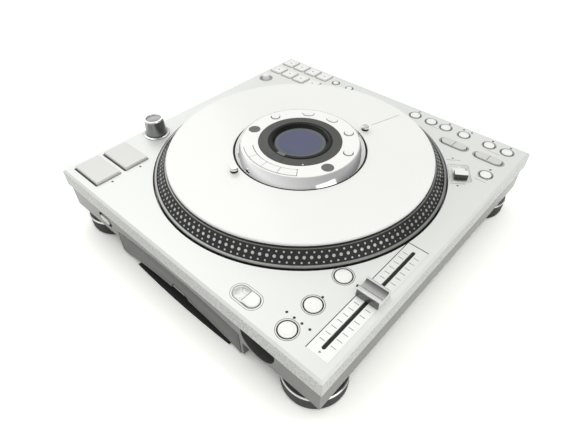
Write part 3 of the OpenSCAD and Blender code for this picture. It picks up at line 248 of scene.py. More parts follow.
# %% Grained surfaces
def grained(name, level, tint=(0, 0, 0), metallic=0.0, roughness=0.45,
            grain=2600.0, depth=0.00003, drift=0.04, coat=0.0):
    """Matte to satin surface: colour = level x (1 +- drift), with a fine grain."""
    paint = Paint(name)
    cloud = paint.noise(9.0, 3.0)
    fine = paint.noise(grain, 1.0)
    low = grey(level * (1 - drift), tint)
    high = grey(min(level * (1 + drift), 0.97), tint)
    speckle = cloud * 0.6 + fine * 0.4
    return paint.finish(
        base_color=paint.mix(low, high, speckle),
        metallic=metallic,
        roughness=speckle * 0.12 + (roughness - 0.06),
        coat_weight=coat,
        coat_roughness=0.12,
        normal=paint.bump(fine, depth))


case_plastic = grained("case_plastic", 0.085, (0, 0.002, 0.002), 0.1, 0.38,
                       grain=1500.0, depth=0.00005, coat=0.5)
door_plastic = grained("door_plastic", 0.085, (0, 0.002, 0.002), 0.2, 0.4,
                       grain=1500.0, depth=0.00005)
cover_paint = grained("cover_paint", 0.08, roughness=0.6, grain=1200.0,
                      depth=0.00006)
key_silver = grained("key_silver", 0.62, (0, 0.002, 0.003), 0.15, 0.36)
key_white = grained("key_white", 0.8, roughness=0.3, drift=0.02,
                    depth=0.00001, coat=0.3)
hub_white = grained("hub_white", 0.82, roughness=0.28, drift=0.02,
                    depth=0.00001, coat=0.4)
black_plastic = grained("black_plastic", 0.018, roughness=0.5, grain=1500.0,
                        depth=0.00005, drift=0.2)
print("grained finishes ready")

# %% [markdown]
# The deck's paint is the same all over, but its side walls were cast rougher
# and show a coarse speckle, and painted shade darkens them.  The sunk plate
# round the fader is brushed and a little paler, with painted shade on its far
# half, and the floors of the selector's recess and of the lever's pocket are
# paler too.  Height and place tell these apart, so one material does all of
# them.

# %% Deck finish
PLATE_W, PLATE_L = 19.8 * MM, 130.6 * MM
SELECTOR = (DECK_HIGH[0] - 85.8 * MM, DECK_LOW[1] + 15.3 * MM)
LEVER_DEGREES, LEVER_ORBIT = 33.8, 156.3 * MM
WALL_BELOW = 2.2 * MM
PLATE_DEPTHS = (0.1 * MM, 1.0 * MM)
RECESS_BELOW, RECESS_LIFT = 0.45 * MM, 0.24
SELECTOR_REACH, LEVER_REACH = 13 * MM, 17 * MM

lever_middle = HUB + LEVER_ORBIT * ray(LEVER_DEGREES)
fader_x, fader_y = middle("tempo_fader")[:2]
deck = Paint("deck_silver")
deck_x, deck_y, deck_z = deck.place()
deck_cloud = deck.noise(9.0, 3.0)
deck_fine = deck.noise(2600.0, 1.0)
deck_speckle = deck.noise(620.0, 2.0, 0.7)
shaded_speckled_wall = deck_z.below(DECK_TOP - WALL_BELOW)
on_plate = (deck_x - fader_x).math("ABSOLUTE").below(PLATE_W / 2)
on_plate = on_plate * (deck_y - fader_y).math("ABSOLUTE").below(PLATE_L / 2)
on_plate = on_plate * deck_z.between(DECK_TOP - PLATE_DEPTHS[1],
                                     DECK_TOP - PLATE_DEPTHS[0])
brushed = deck.noise(1800.0, 1.0, 0.5, (1, 0.02, 1))
shaded_far_half = deck_y.above(fader_y)
deck_shade = deck_cloud * 0.03 + deck_fine * 0.02 + 0.72
# Painted shade: the side walls are darkened, on top of their real coarse speckle.
deck_shade = deck_shade + shaded_speckled_wall * (deck_speckle * 0.9 - 0.68)
# Painted shade: the far half of the sunk plate is darker than the near half.
deck_shade = deck_shade + on_plate * (brushed * 0.12 - shaded_far_half * 0.10 + 0.06)
in_recess = deck_z.below(DECK_TOP - RECESS_BELOW)
for place, reach in ((SELECTOR, SELECTOR_REACH), (lever_middle, LEVER_REACH)):
    dx, dy = deck_x - place[0], deck_y - place[1]
    near = (dx * dx + dy * dy).below(reach ** 2)
    deck_shade = deck_shade + in_recess * near * RECESS_LIFT
deck_silver = deck.finish(
    base_color=deck.mix(grey(0.0), (0.98, 1.0, 0.985, 1), deck_shade),
    metallic=0.25,
    roughness=deck_fine * 0.1 + deck_cloud * 0.06 + 0.34,
    normal=deck.bump(deck_fine + shaded_speckled_wall * deck_speckle, 0.00003))
print("deck finish ready")

# %% [markdown]
# ## Rubber feet, bright metal and dark metal
#
# Chrome is a mirror with a trace of haze, so its look comes from what it
# reflects.  The platter and its strobe dots are turned on a lathe: fine rings
# run round them, from noise that depends on radius and height alone.


# %% Metals and rubber
LATHE_SCALE = 5200.0


def bright(name, level=0.88, roughness=0.07, haze=0.06):
    """Polished metal whose roughness wanders a little."""
    paint = Paint(name)
    cloud = paint.noise(60.0)
    return paint.finish(
        base_color=paint.mix(grey(level * 0.97), grey(level), cloud),
        metallic=1.0,
        roughness=cloud * haze + roughness)


chrome = bright("chrome")
ring_metal = bright("ring_metal", 0.8, 0.16, 0.1)
steel = bright("steel", 0.6, 0.3, 0.15)
dots = Paint("dot_silver")
dot_rings = dots.rings(HUB, LATHE_SCALE)
dot_silver = dots.finish(
    base_color=dots.mix(grey(0.496), grey(0.713), dot_rings),
    metallic=0.8,
    roughness=dot_rings * 0.14 + 0.23,
    normal=dots.bump(dot_rings, 0.00004))
rubber = grained("rubber", 0.012, roughness=0.62, grain=900.0,
                 depth=0.00006, drift=0.25)
board_green = grained("board_green", 0.05, (0.0, 0.12, 0.03), roughness=0.4)
print("metals ready")

# %% [markdown]
# The platter's rim is black where the strobe dots sit, and bare metal on the
# flat ring outside them and on the narrow ring beside the disc.  The radius
# tells the three apart.

# %% Platter finish
STROBE_IN, STROBE_OUT = 132.1 * MM, 141.3 * MM
RIM_FOOT = DECK_TOP + 0.6 * MM

rim = Paint("platter_rim")
rim_radius, _ = rim.polar(HUB)
rim_z = rim.place()[2]
rim_rings = rim.rings(HUB, LATHE_SCALE)
bare = rim_radius.above(STROBE_OUT) * rim_z.above(RIM_FOOT)
bare = bare.math("MAXIMUM", rim_radius.below(STROBE_IN))
bare_metal = rim.mix(grey(0.26), grey(0.42), rim_rings)
black_paint = rim.mix(grey(0.010), grey(0.022), rim_rings)
platter_rim = rim.finish(
    base_color=rim.mix(black_paint, bare_metal, bare),
    metallic=bare * 0.7 + 0.2,
    roughness=rim_rings * 0.1 + 0.34,
    normal=rim.bump(rim_rings, 0.00003))
print("platter finish ready")

# %% [markdown]
# The feet are black rubber with fine upright ribs.  A rib is a wave of the
# angle round the foot's own axis, so each point first picks its nearest foot
# by the side of the deck that it is on.

# %% Feet finish
FOOT_RIBS = 150
FOOT_R = 27.8 * MM

feet_low, feet_high = (np.array(c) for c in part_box("feet"))
feet_mid = middle("feet")
near_axis = feet_low + FOOT_R
span = feet_high - FOOT_R - near_axis
foot = Paint("ribbed_rubber")
foot_x, foot_y, _ = foot.place()
axis_x = foot_x.above(feet_mid[0]) * span[0] + near_axis[0]
axis_y = foot_y.above(feet_mid[1]) * span[1] + near_axis[1]
foot_angle = (foot_y - axis_y).math("ARCTAN2", foot_x - axis_x)
rib = (foot_angle * FOOT_RIBS).math("SINE") * 0.5 + 0.5
foot_grain = foot.noise(900.0)
ribbed_rubber = foot.finish(
    base_color=foot.mix(grey(0.006), grey(0.022), rib * 0.7 + foot_grain * 0.3),
    roughness=foot_grain * 0.1 + 0.55,
    normal=foot.bump(rib, 0.0004))
print("feet finish ready, ribs", FOOT_RIBS)

# %% [markdown]
# ## Giving a node its finish
#
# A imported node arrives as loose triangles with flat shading.  Its mesh stays
# as it is, and modifiers do the rest: Weld joins the triangles, and Edge Split
# keeps sharp edges sharp while the rest is shaded smooth.  Where an edge should
# catch the light, a planar Decimate clears the flats and Bevel rounds it.


# %% Finish helpers
def shade(piece, angle=35):
    """Smooth shading that breaks at edges sharper than an angle in degrees."""
    piece.data.polygons.foreach_set("use_smooth", [True] * len(piece.data.polygons))
    split = piece.modifiers.new("creases", "EDGE_SPLIT")
    split.split_angle = math.radians(angle)


def dress(node, material, edge=0.0):
    """Puts a material on a CAD node, joins its triangles and rounds its edges."""
    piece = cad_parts[node]
    piece.data.materials.clear()
    piece.data.materials.append(material)
    weld = piece.modifiers.new("join", "WELD")
    weld.merge_threshold = 1e-6
    if edge:
        flat = piece.modifiers.new("flats", "DECIMATE")
        flat.decimate_type = "DISSOLVE"
        flat.angle_limit = math.radians(0.3)
        bevel = piece.modifiers.new("edges", "BEVEL")
        bevel.width = edge
        bevel.segments = 2
        bevel.limit_method = "ANGLE"
        bevel.angle_limit = math.radians(40)
    shade(piece)


# %% Dress the case, deck and feet
for node, material in {
        "top_panel": deck_silver, "lower_case": case_plastic,
        "bottom_cover": cover_paint, "screws": steel, "feet": ribbed_rubber,
        "foot_rings": ring_metal, "drive_frame": steel,
        "circuit_boards": board_green, "disc_spindle": steel,
        "laser_sled": black_plastic, "disc_tray": black_plastic,
        "hub_housing": hub_white, "hub_collar": chrome, "platter": platter_rim,
        "strobe_dots": dot_silver, "platter_mat": rubber}.items():
    dress(node, material)
dress("tray_door", door_plastic, 0.4 * MM)
print("nodes dressed")

# %% Dress the keys
front_caps = ["reset_button", "lock_button", "range_button"]
small_caps = ["store_button", "bank_button"]
rear_caps = ["power_button"] + [f"rear_button_{i}" for i in range(1, 7)]
pads = [f"pad_{i}" for i in range(1, 9)]
rockers = ["rocker_left", "rocker_right"]
big_keys = ["cue_button", "start_button"]
white_keys = front_caps + small_caps + rear_caps + pads
white_keys += ["mode_slider", "level_knob"]
white_keys += [f"hub_button_{i}" for i in range(1, 6)]
white_keys += [f"hub_key_{i}" for i in range(1, 5)]
silver_keys = big_keys + rockers + ["eject_button"]
for node in white_keys:
    dress(node, key_white)
for node in silver_keys:
    dress(node, key_silver)
print("keys dressed", len(white_keys) + len(silver_keys))

# %% [markdown]
# ## The scratch disc
#
# The disc is white, thin and slightly satin, with very fine turning rings that
# soften the reflection of the hub.

# %% Disc finish
disc = Paint("disc_white")
disc_rings = disc.rings(HUB, 2600.0, 1.0, by_height=False)
disc_cloud = disc.noise(14.0)
dress("scratch_disc", disc.finish(
    base_color=disc.mix(grey(0.76), grey(0.80), disc_cloud),
    roughness=disc_rings * 0.08 + 0.26,
    coat_weight=0.25,
    coat_roughness=0.1,
    normal=disc.bump(disc_rings, 0.000012)))
print("disc dressed")

# %% [markdown]
# ## The round window
#
# Behind the smoked window the photograph shows a dark grey bezel, a black ring
# and a bluish display.  All three are bands of the distance from the hub's
# axis, so one material paints them.

# %% Window finish
DISPLAY_R, DISPLAY_RIM_R = 24.9 * MM, 21.5 * MM
BLACK_RING_R = 31.7 * MM

window = Paint("smoked_window")
window_radius, _ = window.polar(HUB)
window_cloud = window.noise(30.0)
window_grain = window.noise(1400.0, 1.0)
bezel = window.mix(grey(0.045), grey(0.10), window_cloud * 0.4 + window_grain * 0.6)
display = window.mix((0.075, 0.085, 0.150, 1), (0.11, 0.115, 0.19, 1), window_cloud)
on_rim = window_radius.above(DISPLAY_RIM_R)
display = window.mix(display, (0.115, 0.130, 0.125, 1), on_rim)
inner = window.mix(grey(0.004), display, window_radius.below(DISPLAY_R))
on_bezel = window_radius.above(BLACK_RING_R)
dress("display_window", window.finish(
    base_color=window.mix(inner, bezel, on_bezel),
    roughness=on_bezel * 0.2 + window_cloud * 0.04 + 0.16,
    specular_ior_level=0.25))
print("window dressed")

# %% [markdown]
# ## The tall knob
#
# Its side is a smooth cone with the faint upright streaks of brushing, painted
# darker than its bright rim, dished top and flared foot as a painted reflection.
# The height above the deck tells which is which, and the streaks are noise of
# the angle round the knob.

# %% Knob finish
KNOB_FOOT, KNOB_RIM = 1.3 * MM, 1.2 * MM

knob = Paint("tall_knob")
_, knob_angle = knob.polar(middle("track_knob"))
knob_side = knob.place()[2].between(DECK_TOP + KNOB_FOOT,
                                    top_of("track_knob") - KNOB_RIM)
streak_line = knob.add("CombineXYZ", {0: knob_angle})
streaks = knob.add("TexNoise", {
    "Vector": streak_line, "Scale": 26.0, "Detail": 3.0})
# Painted reflection: the side of the same metal is given a darker colour than the
# rim, top and foot.
knob_side_painted_dark = knob.mix(grey(0.20), grey(0.42), streaks)
dress("track_knob", knob.finish(
    base_color=knob.mix(grey(0.93), knob_side_painted_dark, knob_side),
    metallic=1.0,
    roughness=knob_side * 0.10 + streaks * 0.06 + 0.18,
    normal=knob.bump(streaks, 0.00004)))
print("knob dressed")

# %% [markdown]
# ## Fader cap, posts and sockets
#
# The cap is a chrome saddle with painted light: a bright ridge behind, a painted
# reflection in the hollow that is dark and lightens towards the front lip, a dark
# line at the ridge and painted shade on the front face.  The shades follow the
# distance along the fader.  The two posts carry a dark groove round their waist,
# and the barrels of the rear sockets stand bright on their black plate.

# %% Cap finish
HOLLOW = (-4.6 * MM, 4.9 * MM)
HOLLOW_DARK = 4.2 * MM
HOLLOW_LEVEL = DECK_TOP + 6 * MM
RIDGE_LINE = (6.6 * MM, 7.1 * MM)
FRONT_FACE = -7.2 * MM

cap = Paint("fader_chrome")
_, cap_y, cap_z = cap.place()
along = cap_y - fader_y
# Painted reflection in the hollow, a dark line at the ridge and painted shade on the
# front face.
hollow = along.between(*HOLLOW) * cap_z.above(HOLLOW_LEVEL)
hollow_painted_reflection = cap.mix(grey(0.85), grey(0.14), along.ramp(HOLLOW[0], HOLLOW_DARK))
cap_painted_light = cap.mix(grey(0.92), hollow_painted_reflection, hollow)
cap_painted_light = cap.mix(cap_painted_light, grey(0.10), along.between(*RIDGE_LINE))
cap_painted_light = cap.mix(cap_painted_light, grey(0.16), along.below(FRONT_FACE))
dress("tempo_fader", cap.finish(
    base_color=cap_painted_light,
    metallic=0.75,
    roughness=cap.noise(90.0) * 0.08 + 0.2))
print("cap dressed")

# %% Post and socket finish
WAIST = (DISC_TOP + 1.3 * MM, DISC_TOP + 3.6 * MM)
BARREL_FROM, BARREL_TO = 154 * MM, 60 * MM

post = Paint("post_chrome")
dress("disc_posts", post.finish(
    base_color=post.mix(grey(0.8), grey(0.06), post.place()[2].between(*WAIST)),
    metallic=0.9,
    roughness=post.noise(150.0, 1.0) * 0.06 + 0.12))

barrels = Paint("socket_metal")
barrel_x, barrel_y, _ = barrels.place()
barrel = barrel_y.above(BARREL_FROM) * barrel_x.below(BARREL_TO)
dress("rear_sockets", barrels.finish(
    base_color=barrels.mix(grey(0.018), grey(0.72), barrel),
    metallic=barrel * 0.9,
    roughness=barrels.noise(300.0, 1.0) * 0.1 + 0.22))
print("posts and sockets dressed")

# %% [markdown]
# ## The search lever
#
# The lever is white, and painted shade darkens the front and the left side of
# its thumb block.  Both faces are flat in the lever's own directions, outwards
# from the hub and round it, so two distances from the lever's middle find them.

# %% Lever finish
THUMB_FRONT, THUMB_BACK, THUMB_LEFT = -10.3 * MM, -3.0 * MM, -6.1 * MM
THUMB_LEVELS = (DECK_TOP - 0.9 * MM, top_of("search_lever") - 0.5 * MM)

lever = Paint("search_white")
lever_x, lever_y, lever_z = lever.place()
dx, dy = lever_x - lever_middle[0], lever_y - lever_middle[1]
out_x, out_y = ray(LEVER_DEGREES)
outwards = dx * out_x + dy * out_y
around = dy * out_x - dx * out_y
lever_cloud = lever.noise(40.0)
# Painted shade on the front and the left side of the thumb block.
thumb = lever_z.between(*THUMB_LEVELS) * around.below(THUMB_BACK)
thumb_shaded_faces = around.below(THUMB_FRONT).math("MAXIMUM", outwards.below(THUMB_LEFT))
lever_white = lever.mix(grey(0.76), grey(0.80), lever_cloud)
dress("search_lever", lever.finish(
    base_color=lever.mix(lever_white, grey(0.045), thumb_shaded_faces * thumb),
    roughness=lever_cloud * 0.05 + 0.3))
print("lever dressed at", lever_middle / MM)

# %% [markdown]
# ## Prints
#
# Scales, arrows, lines and marks are printed on the surfaces.  Each is a very
# thin prism on its own outline: `prints` takes a list of outlines, each an
# array of corners, and raises all of them into one mesh.  `bands` does the same
# for rings that lie between an inner and an outer outline.

# %% Outline helpers
INK_T = 0.04 * MM


def turn(points, degrees):
    """Corners turned about the origin: x' = x cos a - y sin a, and so on."""
    x, y = ray(degrees)
    return points @ np.array([[x, y], [-y, x]])


def bar(width, length, at, degrees=0):
    """Rectangle of a width along X and a length along Y, then turned."""
    corners = np.array([[-1, -1], [1, -1], [1, 1], [-1, 1]]) * 0.5
    return turn(corners * [width, length], degrees) + at


def arrow(size, at, degrees):
    """Triangle that points along +Y before it is turned."""
    corners = np.array([[-0.5, -0.4], [0.5, -0.4], [0, 0.5]]) * size
    return turn(corners, degrees) + at


def arc(angles):
    """Points of a circle of radius 1 at angles in radians."""
    return np.stack([np.cos(angles), np.sin(angles)], 1)


def round_spot(radius, at, steps):
    """Circle as a polygon: points at equal angles."""
    return arc(np.linspace(0, 2 * np.pi, steps, endpoint=False)) * radius + at


def arc_band(r0, r1, start, end, at, steps):
    """Part of a ring: the outer arc forwards, then the inner arc backwards."""
    points = arc(np.radians(np.linspace(start, end, steps)))
    return np.concatenate([points * r1, points[::-1] * r0]) + at


def rounded(width, length, radius, at, degrees=0, grow=0.0, steps=12):
    """Round-cornered rectangle: four quarter circles, all grown outwards."""
    half = np.array([width, length]) / 2 - radius
    quarter = arc(np.linspace(0, np.pi / 2, steps)) * (radius + grow)
    signs = np.array([[1, 1], [-1, 1], [-1, -1], [1, -1]])
    corners = [turn(quarter, 90 * k) + half * signs[k] for k in range(4)]
    return turn(np.concatenate(corners), degrees) + at


def grown(shape, inner, outer, steps=12):
    """Two outlines of a rounded rectangle, grown by two reaches."""
    return tuple(rounded(*shape, grow=reach, steps=steps) for reach in (inner, outer))


def line(start, end, width):
    """Straight stroke between two points, as a rectangle."""
    start, end = np.asarray(start), np.asarray(end)
    step = end - start
    degrees = math.degrees(math.atan2(-step[0], step[1]))
    return bar(width, np.hypot(*step), (start + end) / 2, degrees)


# %% Raise outlines into one mesh
def raise_outlines(outlines, z0, z1):
    """Vertices and faces of upright prisms, one on each outline."""
    vertices, faces, start = [], [], 0
    for outline in outlines:
        n = len(outline)
        ring = np.arange(n)
        after = (ring + 1) % n
        for z in (z0, z1):
            vertices.append(np.column_stack([outline, np.full(n, z)]))
        sides = np.column_stack([ring, after, after + n, ring + n]) + start
        faces += sides.tolist()
        faces.append((ring[::-1] + start).tolist())
        faces.append((ring + n + start).tolist())
        start += 2 * n
    return np.concatenate(vertices), faces


def raise_bands(pairs, z0, z1):
    """Closed bands: each lies between an inner and an outer outline."""
    vertices, faces, start = [], [], 0
    for inner, outer in pairs:
        n = len(inner)
        ring = np.arange(n)
        after = (ring + 1) % n
        for outline, z in ((inner, z0), (outer, z0), (outer, z1), (inner, z1)):
            vertices.append(np.column_stack([outline, np.full(n, z)]))
        for a, b in ((0, 1), (1, 2), (2, 3), (3, 0)):
            quads = np.column_stack([ring + a * n, after + a * n,
                                     after + b * n, ring + b * n])
            faces += (quads + start).tolist()
        start += 4 * n
    return np.concatenate(vertices), faces


def new_piece(name, vertices, faces, material, body):
    """Object from vertices and faces, with its normals outwards."""
    mesh = bpy.data.meshes.new(name)
    mesh.from_pydata(vertices.tolist(), [], faces)
    work = bmesh.new()
    work.from_mesh(mesh)
    bmesh.ops.remove_doubles(work, verts=work.verts, dist=1e-7)
    bmesh.ops.recalc_face_normals(work, faces=work.faces)
    work.to_mesh(mesh)
    work.free()
    mesh.materials.append(material)
    piece = bpy.data.objects.new(name, mesh)
    bpy.context.scene.collection.objects.link(piece)
    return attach(piece, body)


def prints(name, outlines, level, material, body="deck", thick=INK_T):
    """A set of printed outlines on a level."""
    vertices, faces = raise_outlines(outlines, level, level + thick)
    return new_piece(name, vertices, faces, material, body)


def bands(name, pairs, level, material, body="deck", thick=INK_T):
    """A set of closed bands on a level."""
    vertices, faces = raise_bands(pairs, level, level + thick)
    return new_piece(name, vertices, faces, material, body)


# %% Inks
def ink(name, level, roughness=0.5, drift=0.1, tint=(0, 0, 0)):
    """Flat printing colour: as a grained surface, but without the grain."""
    return grained(name, level, tint, roughness=roughness, depth=0.0, drift=drift)


ink_black = ink("ink_black", 0.006, 0.6)
ink_dark = ink("ink_dark", 0.03)
ink_slate = ink("ink_slate", 0.05, 0.3, 0.04, (0, 0.002, 0.004))
ink_grey = ink("ink_grey", 0.14)
ink_mid = ink("ink_mid", 0.34)
ink_pale = ink("ink_pale", 0.6, 0.4, 0.05)
ink_white = ink("ink_white", 0.8, 0.4, 0.04)
lamp_dark = ink("lamp_dark", 0.016, 0.3, 0.04, (0.006, 0, 0))
shade_sheet_dark = grained("shade_sheet_dark", 0.02, roughness=0.55, grain=900.0, drift=0.3)
speaker_grey = grained("speaker_grey", 0.12, roughness=0.6, grain=1300.0,
                       depth=0.0001, drift=0.5)
print("inks ready")

# %% [markdown]
# ## The fader's scale
#
# Thin grey ticks run evenly along both sides of the slot.  A black line edges
# the slot, a black seal closes it from below, the sunk plate carries a painted
# shadow along its left and far sides and a painted highlight along its right
# and near sides, and a plus marks the near end.

# %% Fader scale
TICK_PITCH = 6.63 * MM
TICK_COUNT = 17
TICK_GAP = 2.7 * MM
TICK_L, TICK_W = 4.6 * MM, 0.5 * MM
PLUS_L, PLUS_W, PLUS_IN = 2.2 * MM, 0.45 * MM, 3.6 * MM
PLATE_SINK = 0.4 * MM
SLOT_L, SLOT_W = 116.8 * MM, 2.3 * MM

plate_level = DECK_TOP - PLATE_SINK
ticks = []
for i in range(TICK_COUNT):
    y = fader_y + (i - (TICK_COUNT - 1) / 2) * TICK_PITCH
    for side in (-1, 1):
        x = fader_x + side * (TICK_GAP + TICK_L / 2)
        ticks.append(bar(TICK_L, TICK_W, (x, y)))
prints("fader_scale", ticks, plate_level, ink_grey)
plus_at = (fader_x, fader_y - PLATE_L / 2 + PLUS_IN)
prints("fader_plus_across", [bar(PLUS_L, PLUS_W, plus_at)], plate_level, ink_dark)
prints("fader_plus_along", [bar(PLUS_W, PLUS_L, plus_at)], plate_level, ink_dark)
print("fader ticks", len(ticks))

# %% Fader lines
SLOT_LINE = 0.42 * MM
PLATE_SHADOW_W, PLATE_HIGHLIGHT_W, PLATE_LINE_IN = 0.6 * MM, 0.3 * MM, 0.3 * MM
SEAL = (SLOT_W - 0.05 * MM, SLOT_L - 0.2 * MM, 1.1 * MM)
SEAL_SINK, SEAL_T = 1.1 * MM, 0.3 * MM

fader_at = (fader_x, fader_y)
slot = (SLOT_W, SLOT_L, SLOT_W / 2, fader_at)
bands("fader_slot_line", [grown(slot, 0, SLOT_LINE)], plate_level, ink_black)
# Painted shadow on the plate's left and far edges, painted highlight on its right and
# near edges.
for name, side, width, material in (("fader_edge_painted_shadow", -1, PLATE_SHADOW_W, ink_dark),
                                    ("fader_edge_painted_highlight", 1, PLATE_HIGHLIGHT_W, ink_pale)):
    x = fader_x + side * (PLATE_W / 2 - PLATE_LINE_IN)
    y = fader_y - side * (PLATE_L / 2 - PLATE_LINE_IN)
    prints(name, [bar(width, PLATE_L, (x, fader_y)),
                  bar(PLATE_W - 2 * PLATE_SHADOW_W, width, (fader_x, y))],
           plate_level, material)
prints("fader_seal", [rounded(*SEAL, fader_at)], DECK_TOP - SEAL_SINK, ink_black,
       thick=SEAL_T)
print("slot", SLOT_L / MM, "x", SLOT_W / MM)

# %% [markdown]
# ## Dark gaps round the keys
#
# A real key stands in a gap that is dark with shade.  In the model the gap's
# wall is pale deck, so a black band of painted shade fills the lower part of
# each gap, just clear of the key.  A round key also has a sunk step round it,
# with a thin line at the step's edge.

# %% Sizes of the keys
KEY_GAP = 0.3 * MM
GAP_SINK, GAP_T = 1.1 * MM, 0.64 * MM
STEP_LINE, STEP_W = 0.95 * MM, 1.2 * MM
STEP_SINK = 0.5 * MM
FRONT_CAP, REAR_CAP, SMALL_CAP = 6.8 * MM, 5.4 * MM, 3.6 * MM
FRONT_LINE = (1.95 * MM, 2.35 * MM)
REAR_LINE, SMALL_LINE = (STEP_W, 2.15 * MM), (STEP_W, 2.0 * MM)

cap_radius = {node: FRONT_CAP for node in front_caps}
cap_radius.update({node: REAR_CAP for node in rear_caps})
cap_radius.update({node: SMALL_CAP for node in small_caps})


def ring_pair(node, inner, outer):
    """Inner and outer circle round a node, at distances from its cap's edge."""
    at, radius = middle(node)[:2], cap_radius[node]
    return round_spot(radius + inner, at, 60), round_spot(radius + outer, at, 60)


# %% Round keys
# Painted shade: a black band low in the gap round each round key.
filled = (0.03 * MM, KEY_GAP - 0.01 * MM)
bands("round_gap_shade", [ring_pair(node, *filled) for node in cap_radius],
      DECK_TOP - GAP_SINK, ink_black, thick=GAP_T)
step = DECK_TOP - STEP_SINK
for name, nodes, reach, level, material in (
        ("round_edges", cap_radius, (KEY_GAP, STEP_LINE), step, ink_black),
        ("round_steps", cap_radius, (STEP_LINE, STEP_W), step, ink_grey),
        ("front_lines", front_caps, FRONT_LINE, DECK_TOP, ink_dark),
        ("rear_lines", rear_caps, REAR_LINE, DECK_TOP, ink_mid),
        ("small_lines", small_caps, SMALL_LINE, DECK_TOP, ink_mid)):
    bands(name, [ring_pair(node, *reach) for node in nodes], level, material)
print("round keys lined", len(cap_radius))

# %% Square keys
BIG_KEY, BIG_R, BIG_CLEAR = np.array([40, 26]) * MM, 1.0 * MM, 0.04 * MM
HOLE_MORE, HOLE_SHIFT = np.array([0.6, 1.5]) * MM, np.array([0, -0.45]) * MM
LINE_MORE, SHADOW_SHIFT = np.array([1.15, 1.95]) * MM, np.array([0.27, -0.67]) * MM
LINE_R, BIG_GAP_T = 1.1 * MM, 0.7 * MM
PAD = (15.6 * MM, 15.6 * MM, 2 * MM)
PAD_FRAME = (0.3 * MM, 1.6 * MM)
PAD_MARK, PAD_MARK_SINK = (2.6 * MM, 1.3 * MM), 0.3 * MM

# Painted shade: a black band in each big key's gap, wider at the front, and a painted
# shadow line along the key's right and front sides.
big_gap_shade, big_key_shadow_lines = [], []
for node in big_keys:
    at = middle(node)[:2]
    hole = rounded(*(BIG_KEY + HOLE_MORE), BIG_R, at + HOLE_SHIFT)
    big_gap_shade.append((rounded(*BIG_KEY, BIG_R, at, grow=BIG_CLEAR), hole))
    shifted = rounded(*(BIG_KEY + LINE_MORE), LINE_R, at + SHADOW_SHIFT)
    big_key_shadow_lines.append((hole, shifted))
bands("big_gap_shade", big_gap_shade, DECK_TOP - GAP_SINK, ink_black, thick=BIG_GAP_T)
bands("big_key_shadow_lines", big_key_shadow_lines, DECK_TOP, ink_dark)
bands("pad_frames", [grown((*PAD, middle(node)[:2]), *PAD_FRAME) for node in pads],
      DECK_TOP, ink_mid)
for node in pads:
    mark = bar(*PAD_MARK, middle(node)[:2])
    prints(f"{node}_mark", [mark], top_of(node) - PAD_MARK_SINK, ink_grey, node)
print("square keys lined", len(pads) + len(big_keys))

# %% Rockers
ROCKER_L, ROCKER_W, ROCKER_GAP = 27 * MM, 10.4 * MM, 1.0 * MM
ROCKING_ROOM, ROCKER_ENDS = 0.55 * MM, 4.4 * MM
ROCKER_SINK, ROCKER_GAP_T = 1.2 * MM, 0.9 * MM
KEY_SPLIT, KEY_SPLIT_UP, KEY_SPLIT_T = (0.56 * MM, 10 * MM), 1.15 * MM, 0.1 * MM

rocker_gap_shade, rocker_lines = [], []
for node in rockers:
    at = middle(node)[:2]
    key = (ROCKER_L, ROCKER_W, ROCKER_W / 2, at)
    rocker_gap_shade.append(grown(key, ROCKING_ROOM, ROCKER_GAP - 0.02 * MM))
    ends = (ROCKER_L + ROCKER_ENDS, *key[1:])
    rocker_lines.append([rounded(*shape, grow=ROCKER_GAP) for shape in (key, ends)])
    prints(f"{node}_split", [bar(*KEY_SPLIT, at)], DECK_TOP + KEY_SPLIT_UP,
           ink_dark, node, KEY_SPLIT_T)
# Painted shade: a black band low in each rocker's gap.
bands("rocker_gap_shade", rocker_gap_shade, DECK_TOP - ROCKER_SINK, ink_black,
      thick=ROCKER_GAP_T)
bands("rocker_ends", rocker_lines, DECK_TOP, ink_mid)
print("rockers lined")

# %% [markdown]
# ## The play selector
#
# A slide key in an oval recess.  Two lines run round the recess, a pale skirt
# moves with the key and hides the hole below it, and a fine line divides the
# key from the empty half.

# %% Play selector
RECESS = (25 * MM, 13 * MM, 6.5 * MM)
RECESS_EDGE, RECESS_LINE = (0.0, 0.45 * MM), (1.75 * MM, 2.1 * MM)
RECESS_DEPTH = 3.6 * MM
COVER, COVER_LEFT = (3.5 * MM, 4.3 * MM), 5.9 * MM
SKIRT, SKIRT_RIGHT = (16.4 * MM, 11.4 * MM, 5.7 * MM), 3.8 * MM
SKIRT_LIFT, SKIRT_T = 0.05 * MM, 0.22 * MM
SPLIT, SPLIT_IN = (0.45 * MM, 10.6 * MM), 0.35 * MM
SPLIT_SINK, SPLIT_T = 0.9 * MM, 0.93 * MM

selector_x, selector_y = SELECTOR
recess_floor = DECK_TOP - RECESS_DEPTH
for name, reach, material in (("selector_edge", RECESS_EDGE, ink_dark),
                              ("selector_line", RECESS_LINE, ink_grey)):
    bands(name, [grown((*RECESS, SELECTOR), *reach, 18)], DECK_TOP, material)
cover = bar(*COVER, (selector_x - COVER_LEFT, selector_y))
prints("selector_cover", [cover], recess_floor, key_white)
skirt = rounded(*SKIRT, (selector_x + SKIRT_RIGHT, selector_y))
prints("selector_skirt", [skirt], recess_floor + SKIRT_LIFT, key_white,
       "mode_slider", SKIRT_T)
split = bar(*SPLIT, (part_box("mode_slider")[0].x + SPLIT_IN, selector_y))
prints("selector_split", [split], top_of("mode_slider") - SPLIT_SINK, ink_dark,
       "mode_slider", SPLIT_T)
print("selector lined")

# %% [markdown]
# ## The finger recess
#
# The recess under the tray door is dark with shade.  A dark sheet of painted
# shade covers its floor, with a shallow arc as its front edge, and hangs on a
# low wall, also painted shade, under the cover.

